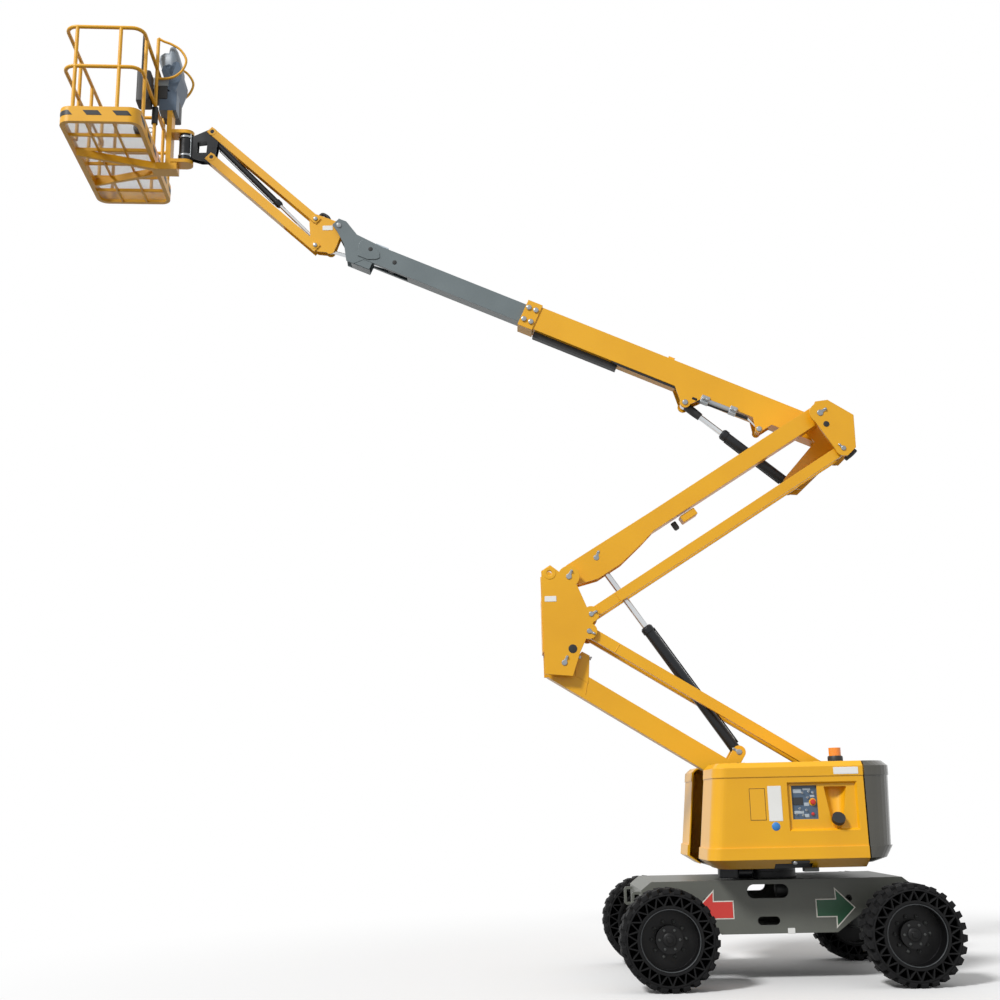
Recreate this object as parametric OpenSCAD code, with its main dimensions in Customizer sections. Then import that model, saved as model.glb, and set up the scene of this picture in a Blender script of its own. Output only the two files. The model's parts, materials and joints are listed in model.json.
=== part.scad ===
// Articulating boom lift, one solid per node, millimetres.
// Origin on the ground under the slew axis, +X along the green drive arrow,
// +Y to the machine's left, +Z up. The boom reaches towards -X at rest.

/* [Stance] */
// distance between the two axles
wheelbase = 2100; // [1900:10:2300]
// width over the tyres
over_tyres = 2300; // [2260:10:2400]
// tyre diameter over the lug tips
tyre_d = 850; // [820:5:880]
// tyre width
tyre_w = 300; // [280:5:320]
// rim seat diameter
rim_d = 530; // [500:5:560]

/* [Chassis] */
// length of the chassis frame
chassis_l = 2450; // [2350:10:2550]
// width of the chassis frame
chassis_w = 1100; // [1040:10:1140]
// height of the chassis top above the ground
chassis_top = 875; // [870:5:900]
// height of the chassis underside above the ground
chassis_low = 410; // [380:5:440]

/* [Turntable] */
// height of the hood tops above the ground
hood_top = 1900; // [1880:5:1940]
// front of the hoods, ahead of the slew axis
hood_front = 675; // [640:5:700]
// rear of the counterweight behind the slew axis
tail = 1040; // [1000:5:1080]
// width over the hoods
hood_over = 2000; // [1960:10:2060]
// clear slot between the hoods for the arms
arm_slot = 770; // [750:5:800]

/* [Folding arms] */
// angle of both folding arms above level as parked
arm_angle = 32; // [28:0.5:36]
// lower arm, pin to pin
lower_arm_l = 2850; // [2800:10:2900]
// upper arm, pin to pin
upper_arm_l = 3050; // [3000:10:3100]
// lower arm's root pin behind the slew axis
root_x = 577; // [560:1:590]
// lower arm's root pin above the ground
root_z = 1390; // [1370:5:1410]
// rise between the two arm pins of the middle knuckle
knuckle_rise = 840; // [820:5:860]
// width of the folding arms
arm_w = 170; // [150:5:180]
// depth of the lower arm
lower_arm_h = 205; // [190:5:215]
// depth of the upper arm
upper_arm_h = 175; // [160:5:185]

/* [Boom] */
// angle of the boom above level as parked
boom_angle = 24.5; // [20:0.5:28]
// boom pivot to the collar's face
boom_l = 3470; // [3440:5:3480]
// depth of the outer boom
boom_h = 265; // [258:1:275]
// width of the outer boom
boom_w = 190; // [186:1:194]
// depth of the fly boom
fly_h = 210; // [200:1:214]
// width of the fly boom
fly_w = 150; // [146:1:154]
// boom pivot to the fly's tip pin as parked
tip_reach = 5707; // [5690:1:5730]

/* [Jib and basket] */
// angle of the jib above level as parked
jib_angle = 43; // [40:0.5:46]
// jib, pin to pin
jib_l = 1588; // [1570:1:1610]
// gap between the jib's two pins at each end
jib_gap = 310; // [305:1:316]
// basket turned about its rotator as parked
basket_turn = 4.4; // [0:0.2:8]
// inside length of the basket along its wide side
basket_w = 1830; // [1780:10:1880]
// depth of the basket
basket_d = 840; // [800:10:880]
// height of the top rail above the floor
rail_h = 1100; // [1080:5:1120]

/* [Hidden] */
$fn = 48;
over = 1;
run_gap = 0.3;
face_gap = 1;

// lateral layers, each a pair of Y values
arm_y = -130;
arm_lay = [arm_y - arm_w / 2, arm_y + arm_w / 2];
link_w = 50;
link_gap = 10;
link_lay = [[arm_lay[0] - link_gap - link_w, arm_lay[0] - link_gap],
  [arm_lay[1] + link_gap, arm_lay[1] + link_gap + link_w]];
plate_t = 25;
plate_gap = 12;
near_lay = [link_lay[0][0] - plate_gap - plate_t, link_lay[0][0] - plate_gap];
far_t = 20;
far_lay = [link_lay[1][1] + plate_gap, link_lay[1][1] + plate_gap + far_t];
mid_t = 22;
mid_gap = 8;
mid_lay = [far_lay[1] + mid_gap, far_lay[1] + mid_gap + mid_t];
boom_y = mid_lay[1] + mid_gap + boom_w / 2;
out_lay = [2 * boom_y - mid_lay[1], 2 * boom_y - mid_lay[0]];

// side-view pins, each [x, z]
link_low = [250, 300];
link_high = [205, -375];
knuckle_run = 70;
pin_p0 = [root_x, root_z];
pin_q0 = pin_p0 + link_low;
pin_p1 = pin_p0 + lower_arm_l * [-cos(arm_angle), sin(arm_angle)];
pin_q1 = pin_p1 + link_low;
pin_p2 = pin_p1 + [knuckle_run, knuckle_rise];
pin_q2 = pin_p2 + link_high;
pin_p3 = pin_p2 + upper_arm_l * [cos(arm_angle), sin(arm_angle)];
pin_q3 = pin_p3 + link_high;
boom_off = [200, -125];
pin_p4 = pin_p3 + boom_off;
boom_base_off = [-247, -620];
pin_bb = pin_p3 + boom_base_off;
tip_up = 153;
boom_dir = [-cos(boom_angle), sin(boom_angle)];
boom_nrm = [sin(boom_angle), cos(boom_angle)];
pin_t = pin_p4 + tip_reach * boom_dir + tip_up * boom_nrm;
bracket_along = 1521;
bracket_drop = 257;
pin_be = pin_p4 + bracket_along * boom_dir - bracket_drop * boom_nrm;
jib_low_off = [-258, -219];
pin_j1 = pin_t + jib_low_off;
pin_j2 = pin_j1 + [0, jib_gap];
pin_k1 = pin_j1 + jib_l * [-cos(jib_angle), sin(jib_angle)];
pin_k2 = pin_k1 + [0, jib_gap];
jib_eye_off = [-20, 100];
pin_je = pin_j1 + jib_eye_off;
jib_base_off = [44, 193];
pin_jb = pin_k1 + jib_base_off;
level_eye_off = [-96, -270];
pin_le = pin_t + level_eye_off;
level_back = 1200;
level_under = 12;
pin_lb = pin_p4 + (tip_reach - level_back) * boom_dir - level_under * boom_nrm;
arm_cyl_along = 995;
arm_cyl_up = 127;
arm_dir = [-cos(arm_angle), sin(arm_angle)];
arm_nrm = [sin(arm_angle), cos(arm_angle)];
pin_c0 = pin_p0 + arm_cyl_along * arm_dir + arm_cyl_up * arm_nrm;
arm_eye_along = 346;
arm_eye_up = 20;
pin_c1 = pin_p2 + arm_eye_along * [cos(arm_angle), sin(arm_angle)]
  + arm_eye_up * [-sin(arm_angle), cos(arm_angle)];

// pin sizes
big_pin = 35;
mid_pin = 25;
big_tube = 62;
mid_tube = 45;

function lift_of(a, b) = atan2(b[1] - a[1], b[0] - a[0]);
function span_of(a, b) = norm(b - a);
// an outline from its shares of a width and a height
function fit_to(shares, size) = [for (s = shares) [s[0] * size[0], s[1] * size[1]]];

// a side-view outline given a thickness in Y
module slab(lay) {
  translate([0, lay[1], 0]) rotate([90, 0, 0]) linear_extrude(lay[1] - lay[0]) children();
}
// a round bar across the machine
module cross_bar(p, r, lay) {
  translate([p[0], lay[0], p[1]]) rotate([-90, 0, 0]) cylinder(h = lay[1] - lay[0], r = r);
}
module spot(p, r) { translate(p) circle(r = r); }
// the frame of a part that reaches to -X and is lifted by an angle
module reach_back(p, lift) { translate([p[0], 0, p[1]]) rotate([0, lift, 0]) children(); }
// the frame of a part that reaches to +X and is lifted by an angle
module reach_fore(p, lift) { translate([p[0], 0, p[1]]) rotate([0, -lift, 0]) children(); }
// a box by its corner spans
module block(x, y, z) {
  translate([x[0], y[0], z[0]]) cube([x[1] - x[0], y[1] - y[0], z[1] - z[0]]);
}
// a flat bar outline with round ends
module strap(l, w) {
  translate([0, -w / 2]) square([l, w]);
  circle(r = w / 2);
  translate([l, 0]) circle(r = w / 2);
}

// chassis
chassis_wall = 14;
nose_in = 90;
nose_drop = 70;
end_low = 610;
haunch_in = 520;
haunch_out = 800;
slot_hi = [-270, 372, 120, 775];
slot_lo = [-190, 200, 72, 520];
module chassis_side(inset) {
  half = chassis_l / 2 - inset;
  top = chassis_top - inset;
  polygon([[-half, end_low + inset], [-half, top - nose_drop], [-half + nose_in, top],
    [half - nose_in, top], [half, top - nose_drop], [half, end_low + inset],
    [haunch_out, end_low + inset], [haunch_in, chassis_low + inset],
    [-haunch_in, chassis_low + inset], [-haunch_out, end_low + inset]]);
}
module long_hole(s) {
  translate([s[0] + s[2] / 2, s[3]]) strap(s[1] - s[2], s[2]);
}
end_hole_w = 620;
end_hole_h = 110;
tie_x = 640;
tie_z = 700;
tie_bore = 30;
loop_y = 400;
loop_t = 22;
loop_out = 95;
loop_h = 170;
loop_w = 26;
// a towing loop on the end plate, seen from the side
module end_loop() {
  difference() {
    translate([0, -loop_h / 2]) square([loop_out - loop_h / 4, loop_h]);
    translate([-over, -loop_h / 2 + loop_w]) square([loop_out - loop_h / 4, loop_h - 2 * loop_w]);
  }
  translate([loop_out - loop_h / 4 - over, 0]) difference() {
    translate([0, -loop_h / 2]) square([loop_w, loop_h]);
    translate([loop_w, loop_h / 2]) rotate([0, 0, 45]) square([loop_w, loop_w], center = true);
    translate([loop_w, -loop_h / 2]) rotate([0, 0, 45]) square([loop_w, loop_w], center = true);
  }
}
module chassis_frame() {
  half_w = chassis_w / 2;
  color("#5E605C") union() {
    difference() {
      slab([-half_w, half_w]) chassis_side(0);
      slab([-half_w + chassis_wall, half_w - chassis_wall]) chassis_side(chassis_wall);
      slab([-half_w - over, half_w + over]) { long_hole(slot_hi); long_hole(slot_lo); }
      block([-chassis_l / 2 - over, chassis_l / 2 + over], [-end_hole_w / 2, end_hole_w / 2],
        [end_low + 2 * chassis_wall, end_low + 2 * chassis_wall + end_hole_h]);
      for (sx = [-1, 1]) cross_bar([sx * tie_x, tie_z], tie_bore, [-half_w - over, half_w + over]);
    }
    for (sx = [-1, 1]) for (sy = [-1, 1])
      slab([sy * loop_y - loop_t / 2, sy * loop_y + loop_t / 2]) scale([sx, 1])
        translate([chassis_l / 2 - over, tie_z]) end_loop();
  }
}

// axles
axle_z = tyre_d / 2;
axle_x = wheelbase / 2;
wheel_y = (over_tyres - tyre_w) / 2;
beam_x = 150;
beam_z = 150;
bowl_r = 165;
bowl_w = 260;
seat_w = 420;
seat_x = 300;
king_y = wheel_y - 255;
yoke_in = 110;
yoke_out = 70;
yoke_x = 130;
yoke_t = 32;
yoke_gap = 190;
king_r = 28;
beam_end = king_y - yoke_in;
module axle_beam(end) {
  block([-beam_x / 2, beam_x / 2], [-end, end], [axle_z - beam_z / 2, axle_z + beam_z / 2]);
  translate([0, -bowl_w / 2, axle_z]) rotate([-90, 0, 0]) cylinder(h = bowl_w, r = bowl_r);
  block([-seat_x / 2, seat_x / 2], [-seat_w / 2, seat_w / 2], [axle_z, end_low]);
}
spindle_r = 55;
spindle_in = 40;
hub_in = 60;
module steer_axle() {
  color("#4A4C4A") translate([-axle_x, 0, 0]) difference() {
    union() {
      axle_beam(beam_end + over);
      for (s = [-1, 1]) scale([1, s, 1]) difference() {
        block([-yoke_x / 2, yoke_x / 2], [beam_end, king_y + yoke_out],
          [axle_z - yoke_gap / 2 - yoke_t, axle_z + yoke_gap / 2 + yoke_t]);
        block([-yoke_x, yoke_x], [king_y - yoke_out, king_y + yoke_out + over],
          [axle_z - yoke_gap / 2, axle_z + yoke_gap / 2]);
      }
    }
    for (s = [-1, 1]) translate([0, s * king_y, 0]) cylinder(h = tyre_d, r = king_r + run_gap);
  }
}
module fixed_axle() {
  color("#4A4C4A") translate([axle_x, 0, 0]) {
    axle_beam(wheel_y - 2 * hub_in - over);
    for (s = [-1, 1]) translate([0, 0, axle_z]) scale([1, s, 1])
      translate([0, wheel_y - 2 * hub_in - 2 * over, 0]) rotate([-90, 0, 0])
        cylinder(h = 2 * hub_in + spindle_in + 2 * over, r = spindle_r);
    for (s = [-1, 1]) translate([0, 0, axle_z]) scale([1, s, 1])
      translate([0, king_y, 0]) rotate([-90, 0, 0])
        cylinder(h = wheel_y - hub_in - king_y - face_gap, r = 2 * spindle_r);
  }
}
king_body = 92;
king_long = 300;
module steer_knuckle(s) {
  color("#3E403E") translate([-axle_x, 0, 0]) {
    translate([0, s * king_y, axle_z - king_long / 2]) cylinder(h = king_long, r = king_r);
    translate([0, s * king_y, axle_z - yoke_gap / 2 + face_gap])
      cylinder(h = yoke_gap - 2 * face_gap, r = king_body / 2);
    translate([0, s * king_y, axle_z]) rotate([-90 * s, 0, 0]) {
      cylinder(h = wheel_y + spindle_in - king_y, r = spindle_r);
      translate([0, 0, yoke_out + hub_in / 2]) cylinder(h = wheel_y - hub_in - face_gap - king_y - yoke_out - hub_in / 2, r = 2 * spindle_r);
    }
  }
}
module steer_knuckle_left() { steer_knuckle(1); }
module steer_knuckle_right() { steer_knuckle(-1); }

// wheels, local Z points outward
rim_t = 14;
rim_edge = 8;
disc_in = 70;
disc_t = 16;
hub_r = 118;
hub_out = 55;
// airless tyre: staggered lugs on both halves, a web of triangular cells between belt and rim
lugs = 18;
lug_h = 36;
lug_root_share = 0.66;
lug_tip_share = 0.5;
cell_band = 22;
cell_share = 0.36;
module wheel_place(x, s) {
  translate([x, s * wheel_y, axle_z]) rotate([-90 * s, 0, 0]) children();
}
module rim_form() {
  r = rim_d / 2;
  w = tyre_w / 2 - rim_edge;
  difference() {
    union() {
      difference() {
        translate([0, 0, -w]) cylinder(h = 2 * w, r = r);
        translate([0, 0, -w - over]) cylinder(h = 2 * w + 2 * over, r = r - rim_t);
      }
      translate([0, 0, -disc_in / 2]) cylinder(h = disc_t, r = r - rim_t / 2);
      translate([0, 0, -hub_in]) cylinder(h = hub_in + hub_out, r = hub_r);
    }
    translate([0, 0, -hub_in - over]) cylinder(h = hub_in + spindle_in + 2 * over, r = spindle_r + run_gap);
  }
}
function polar(r, a) = r * [cos(a), sin(a)];
lug_step = 360 / lugs;
function lug_outline(phase) = [for (i = [0:lugs - 1]) for (k = [[-lug_root_share, 0], [-lug_tip_share, 1],
  [lug_tip_share, 1], [lug_root_share, 0]])
  polar(k[1] > 0 ? tyre_d / 2 / cos(lug_tip_share * lug_step / 2) : tyre_d / 2 - lug_h,
    phase + (i + k[0] / 2) * lug_step)];
// one cell of the web, its base on one radius and its point on the other
module cell(a, base_r, point_r) {
  polygon([polar(base_r, a - cell_share * lug_step), polar(base_r, a + cell_share * lug_step), polar(point_r, a)]);
}
module tyre_half(phase) {
  inner = rim_d / 2 + cell_band;
  outer = tyre_d / 2 - lug_h - cell_band;
  difference() {
    polygon(lug_outline(phase));
    circle(r = rim_d / 2 + run_gap);
    for (i = [0:lugs - 1]) {
      cell(i * lug_step, outer, inner);
      cell((i + 1 / 2) * lug_step, inner, outer);
    }
  }
}
module tyre_form() {
  translate([0, 0, -tyre_w / 2]) linear_extrude(tyre_w / 2) tyre_half(lug_step / 2);
  linear_extrude(tyre_w / 2) tyre_half(0);
}
module rim_steer_left() { color("#1C1C1C") wheel_place(-axle_x, 1) rim_form(); }
module rim_steer_right() { color("#1C1C1C") wheel_place(-axle_x, -1) rim_form(); }
module rim_fixed_left() { color("#1C1C1C") wheel_place(axle_x, 1) rim_form(); }
module rim_fixed_right() { color("#1C1C1C") wheel_place(axle_x, -1) rim_form(); }
module tyre_steer_left() { color("#2A2A2A") wheel_place(-axle_x, 1) tyre_form(); }
module tyre_steer_right() { color("#2A2A2A") wheel_place(-axle_x, -1) tyre_form(); }
module tyre_fixed_left() { color("#2A2A2A") wheel_place(axle_x, 1) tyre_form(); }
module tyre_fixed_right() { color("#2A2A2A") wheel_place(axle_x, -1) tyre_form(); }

// slew ring and turntable frame
ring_r = 290;
ring_h = 55;
deck_low = chassis_top + 2 * ring_h;
deck_t = 40;
deck_top = deck_low + deck_t;
low_in = 130;
shell_t = 14;
deck_clear = 11;
deck_cut = 90;
deck_front = hood_front - low_in - shell_t - deck_clear;
deck_rear = 700;
deck_half = hood_over / 2 - low_in - shell_t - deck_clear;
wall_x = [80, 735];
wall_back = 915;
wall_step = 1345;
root_eye = 105;
link_eye = 78;
back_half = 350;
module slew_ring() {
  color("#202020") translate([0, 0, chassis_top]) cylinder(h = ring_h, r = ring_r);
}
module turret_wall() {
  polygon([[wall_x[0], deck_top - over], [wall_x[1], deck_top - over], [wall_x[1], wall_step],
    [wall_back, wall_step], [wall_back, pin_q0[1]], [pin_q0[0], pin_q0[1] + link_eye],
    [pin_p0[0] - root_eye, pin_p0[1] + root_eye / 2], [pin_p0[0] - root_eye, pin_p0[1]]]);
  spot(pin_p0, root_eye);
  spot(pin_q0, link_eye);
}
// hinge posts beside the arms carry the hoods at their inner top edges
hinge_x = [-250, 520];
hinge_t = 16;
hinge_l = 55;
hinge_r = 20;
hinge_pin = 10;
hinge_gap = 2;
post_w = 32;
post_in = 8;
module hinge_post(s) {
  y = arm_slot / 2 - post_in;
  scale([s, 1]) translate([y - post_w, deck_top - over]) square([post_w, hood_top - deck_top + over]);
  spot([s * arm_slot / 2, hood_top], hinge_r);
}
// a round bar along the hinge line
module hinge_bar(s, x, r) {
  translate([x[0], s * arm_slot / 2, hood_top]) rotate([0, 90, 0]) cylinder(h = x[1] - x[0], r = r);
}
module turntable_frame() {
  color("#3A3B39") union() {
    translate([0, 0, chassis_top + ring_h + face_gap / 2])
      cylinder(h = ring_h - face_gap / 2 + over, r = ring_r);
    translate([0, 0, deck_low]) linear_extrude(deck_t) polygon([[-deck_front, -deck_half + deck_cut],
      [-deck_front + deck_cut, -deck_half], [deck_rear - deck_cut, -deck_half], [deck_rear, -deck_half + deck_cut],
      [deck_rear, deck_half - deck_cut], [deck_rear - deck_cut, deck_half], [-deck_front + deck_cut, deck_half],
      [-deck_front, deck_half - deck_cut]]);
    for (x = hinge_x) for (s = [-1, 1]) {
      translate([x - hinge_t / 2, 0, 0]) rotate([90, 0, 90]) linear_extrude(hinge_t) hinge_post(s);
      hinge_bar(s, [x - hinge_t / 2 - hinge_l, x + hinge_t / 2 + hinge_l], hinge_pin);
    }
    slab(near_lay) turret_wall();
    slab(far_lay) turret_wall();
    block([wall_x[1] - over, split_x + split_gap], [-back_half, back_half], [deck_low, cw_slot_z - plate_t]);
    block([deck_rear - over, wall_x[1]], [-back_half, back_half], [deck_low, deck_top]);
    cross_bar(pin_p0, big_pin, [near_lay[0], far_lay[1]]);
    cross_bar(pin_q0, mid_pin, [near_lay[0], far_lay[1]]);
  }
}

// hoods and counterweight share one lofted outline
front_round = 120;
tail_round = 260;
round_fn = 32;
low_band = 80;
crease_low = 1165;
crease_high = 1772;
crease_in = 12;
top_in = 48;
top_band = 45;
split_x = 745;
split_gap = 12;
hood_low = deck_low;
front_rake = 95;
tail_tuck = 190;
// the loft's levels: height, inset all round, share of the tail's tuck
belt_z = hood_low + low_band;
lip_z = hood_top - top_band;
wall_in = shell_t + crease_in;
belt_tuck_share = 0.5;
crease_tuck_share = 0.15;
outer_levels = [[hood_low, low_in, 1], [belt_z, 0, belt_tuck_share], [crease_low, 0, crease_tuck_share],
  [crease_low, crease_in, crease_tuck_share], [crease_high, crease_in, 0], [crease_high, crease_in / 2, 0],
  [lip_z, crease_in / 2, 0], [hood_top - over, top_in, 0]];
outer_bands = [0, 1, 3, 5, 6];
inner_levels = [[hood_low - over, low_in + shell_t, 1], [belt_z, wall_in, belt_tuck_share], [lip_z, wall_in, 0],
  [hood_top - shell_t - over, top_in + shell_t, 0]];
inner_bands = [0, 1, 2];
tuck_round_share = 0.45;
module outline(level, tuck) {
  half = hood_over / 2 - level[1];
  rake = front_rake * (level[0] - hood_low) / (hood_top - hood_low);
  tail_in = tuck * level[2];
  r = tail_round - tail_in * tuck_round_share;
  for (s = [-1, 1]) {
    translate([-hood_front + rake + level[1] + front_round, s * (half - front_round)])
      circle(r = front_round, $fn = round_fn);
    translate([tail - level[1] - tail_in - r, s * (half - r)]) circle(r = r, $fn = round_fn);
  }
}
module loft(levels, bands, tuck) {
  for (i = bands) hull() for (level = [levels[i], levels[i + 1]])
    translate([0, 0, level[0]]) linear_extrude(over) outline(level, tuck);
}
module cover_outer(tuck) { loft(outer_levels, outer_bands, tuck); }
module cover_inner() { loft(inner_levels, inner_bands, 0); }
// the service recess in the right hood, with the panel's window and a scoop round the filler
side_y = -hood_over / 2 + crease_in;
recess_in = 30;
recess_bevel = 16;
recess_x = [80, 667];
recess_z = [1320, 1705];
recess_y = side_y + recess_in;
panel_x = [105, 331];
panel_z = [1402, 1692];
panel_deep = 40;
scoop_x = 495;
scoop_z = [1365, 1680];
scoop_r = [48, 100];
cap_tilt = 35;
cap_out_y = 25;
cap_at = [scoop_x, recess_y - cap_out_y, scoop_z[0] + cap_out_y];
cap_r = 58;
cap_out = 40;
boss_r = 48;
boss_in = 90;
latch_x = [-75, 259];
latch_h = 42;
module scoop(t) {
  translate([scoop_x, recess_y, scoop_z[0] - t])
    cylinder(h = scoop_z[1] - scoop_z[0] + 2 * t, r1 = scoop_r[0] + t, r2 = scoop_r[1] + t, $fn = round_fn);
}
// along the tilted axis of the filler, outwards from its seat
module cap_place() { translate(cap_at) rotate([90 - cap_tilt, 0, 0]) children(); }
module recess_back() {
  b = recess_bevel + shell_t;
  block([recess_x[0] - b, split_x], [side_y, recess_y + shell_t], [recess_z[0] - b, recess_z[1] + b]);
  intersection() {
    scoop(shell_t);
    block([recess_x[0], split_x], [recess_y, 0], [recess_z[0], recess_z[1]]);
  }
}
module recess_cut() {
  hull() {
    block([recess_x[0] - recess_bevel, recess_x[1] + recess_bevel], [side_y - over, side_y],
      [recess_z[0] - recess_bevel, recess_z[1] + recess_bevel]);
    block(recess_x, [side_y, recess_y], recess_z);
  }
  block(panel_x, [side_y, recess_y + 2 * shell_t], panel_z);
  scoop(0);
}
module hood(s) {
  color("#EFB234") difference() {
    union() {
      hood_shell(s);
      for (x = hinge_x) for (d = [-1, 1]) {
        a = x + d * (hinge_t / 2 + hinge_gap);
        hinge_bar(s, [min(a, a + d * hinge_l), max(a, a + d * hinge_l)], hinge_r);
      }
    }
    for (x = hinge_x) {
      hinge_bar(s, [x - hinge_t / 2 - hinge_gap, x + hinge_t / 2 + hinge_gap], hinge_r + hinge_gap);
      hinge_bar(s, [x - hinge_t - 2 * hinge_l, x + hinge_t + 2 * hinge_l], hinge_pin + run_gap);
    }
  }
}
module hood_shell(s) {
  slot = arm_slot / 2;
  intersection() {
    union() {
      difference() {
        union() {
          difference() {
            cover_outer(0);
            cover_inner();
          }
          if (s < 0) recess_back();
        }
        if (s < 0) recess_cut();
        block(latch_x, s > 0 ? [0, hood_over] : [-hood_over, 0], [hood_low - over, hood_low + latch_h]);
      }
      if (s < 0) cap_place() translate([0, 0, -boss_in]) cylinder(h = boss_in, r = boss_r, $fn = round_fn);
    }
    block([-hood_front - over, split_x], [s > 0 ? slot : -hood_over, s > 0 ? hood_over : -slot],
      [hood_low - over, hood_top + over]);
  }
}
module hood_left() { hood(1); }
module hood_right() { hood(-1); }
cw_slot_z = 1330;
cw_rise = 40;
module counterweight() {
  color("#3C3C3A") difference() {
    intersection() {
      cover_outer(tail_tuck);
      block([split_x + split_gap, tail + over], [-hood_over, hood_over], [hood_low + cw_rise, hood_top]);
    }
    block([split_x, tail + 2 * over], [-arm_slot / 2, arm_slot / 2], [cw_slot_z, hood_top + over]);
  }
}
engine_x = [-430, 170];
engine_y = [460, 800];
engine_z = [0, 480];
module engine_block() {
  color("#4B4B48") block(engine_x, engine_y, [deck_top, deck_top + engine_z[1]]);
}
panel_lip = 26;
module control_panel() {
  y0 = recess_y + shell_t + run_gap;
  color("#6C7C8A") difference() {
    block([panel_x[0] - panel_lip, panel_x[1] + panel_lip], [y0, y0 + panel_deep + panel_lip],
      [panel_z[0] - panel_lip, panel_z[1] + panel_lip]);
    block(panel_x, [y0 - over, y0 + panel_deep / 4], panel_z);
  }
}
module filler_cap() {
  color("#181818") cap_place() cylinder(h = cap_out, r = cap_r);
}
beacon_at = [609, -600];
beacon_r = 55;
beacon_h = 130;
beacon_base = 30;
module beacon() {
  color("#E88A1A") translate([beacon_at[0], beacon_at[1], hood_top]) {
    cylinder(h = beacon_base, r = beacon_r + beacon_base / 3);
    translate([0, 0, beacon_base - over]) cylinder(h = beacon_h - beacon_base + over, r = beacon_r);
  }
}

// folding arms
arm_drop = 90;
arm_wall = 8;
arm_tail = 75;
ear_t = 22;
ear_r = 62;
tube_lay = [near_lay[1] + face_gap, far_lay[0] - face_gap];
tube_top = [near_lay[1] + face_gap, mid_lay[0] - face_gap];
module hollow(x, y, z, t) {
  difference() {
    block(x, y, z);
    block([x[0] + t, x[1] - t], [y[0] + t, y[1] - t], [z[0] + t, z[1] - t]);
  }
}
module lower_arm() {
  z = [-arm_drop - lower_arm_h / 2, -arm_drop + lower_arm_h / 2];
  color("#EFB234") reach_back(pin_p0, arm_angle) difference() {
    union() {
      hollow([-lower_arm_l - arm_tail, arm_tail], arm_lay, z, arm_wall);
      for (x = [0, -lower_arm_l]) cross_bar([x, 0], big_tube, tube_lay);
      for (y = [arm_lay[0], arm_lay[1] - ear_t]) slab([y, y + ear_t]) {
        spot([-arm_cyl_along, arm_cyl_up], ear_r);
        translate([-arm_cyl_along - ear_r, z[1] - over]) square([2 * ear_r, arm_cyl_up - z[1] + over]);
      }
      cross_bar([-arm_cyl_along, arm_cyl_up], mid_pin, arm_lay);
    }
    for (x = [0, -lower_arm_l]) cross_bar([x, 0], big_pin + run_gap, [tube_lay[0] - over, tube_lay[1] + over]);
  }
}
link_h = 105;
link_wall = 6;
module link_pair(l, sx, ends) {
  difference() {
    union() {
      for (lay = link_lay) difference() {
        slab(lay) scale([sx, 1]) strap(l, link_h);
        block([min(0, sx * l) + link_h, max(0, sx * l) - link_h], [lay[0] + link_wall, lay[1] - link_wall],
          [-link_h / 2 + link_wall, link_h / 2 - link_wall]);
      }
      cross_bar([0, 0], mid_tube, ends[0]);
      cross_bar([sx * l, 0], mid_tube, ends[1]);
    }
    for (i = [0, 1]) cross_bar([i * sx * l, 0], mid_pin + run_gap, [ends[i][0] - over, ends[i][1] + over]);
  }
}
module lower_links() { color("#EFB234") reach_back(pin_q0, arm_angle) link_pair(lower_arm_l, -1, [tube_lay, tube_lay]); }
module upper_links() { color("#EFB234") reach_fore(pin_q2, arm_angle) link_pair(upper_arm_l, 1, [tube_lay, tube_top]); }
knuckle_share = [[-0.237, 1.070], [-0.131, 1.139], [0.176, 0.895], [0.351, 0.460], [0.182, 0.106],
  [0.093, -0.155], [-0.226, -0.126]];
knuckle_web = [-205, 18];
web_low = 110;
web_high = 640;
lobe_share = [-0.140, 1.044];
lobe_r = 22;
module knuckle_side() {
  difference() {
    union() {
      translate(pin_p1) polygon(knuckle_rise * knuckle_share);
      spot(pin_p1, root_eye);
      spot(pin_p2, root_eye);
      spot(pin_q1, link_eye);
      spot(pin_q2, link_eye);
    }
    spot(pin_p1 + knuckle_rise * lobe_share, lobe_r);
  }
}
module mid_knuckle() {
  color("#EFB234") union() {
    slab(near_lay) knuckle_side();
    slab(far_lay) knuckle_side();
    for (p = [pin_p1, pin_p2]) cross_bar(p, big_pin, [near_lay[0], far_lay[1]]);
    for (p = [pin_q1, pin_q2]) cross_bar(p, mid_pin, [near_lay[0], far_lay[1]]);
    block([pin_p1[0] + knuckle_web[0], pin_p1[0] + knuckle_web[0] + knuckle_web[1]], [near_lay[1] - over, far_lay[0] + over],
      [pin_p1[1] + web_low, pin_p1[1] + web_high]);
  }
}
arm_rise = 20;
cheek_t = 15;
cheek_size = [980, 283];
cheek_lap = 78;
box_from = cheek_size[0] - cheek_lap;
cheek_shares = [[-0.097, -0.247], [-0.071, 0.336], [0.061, 0.417], [1, 0.382], [1, -0.233], [0.816, -0.389],
  [0.531, -0.583], [0.245, -0.583], [0.061, -0.389]];
stub_r = 30;
eye_gap = 5;
arm_rod_r = 32;
arm_eye_half = arm_rod_r + over;
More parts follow.
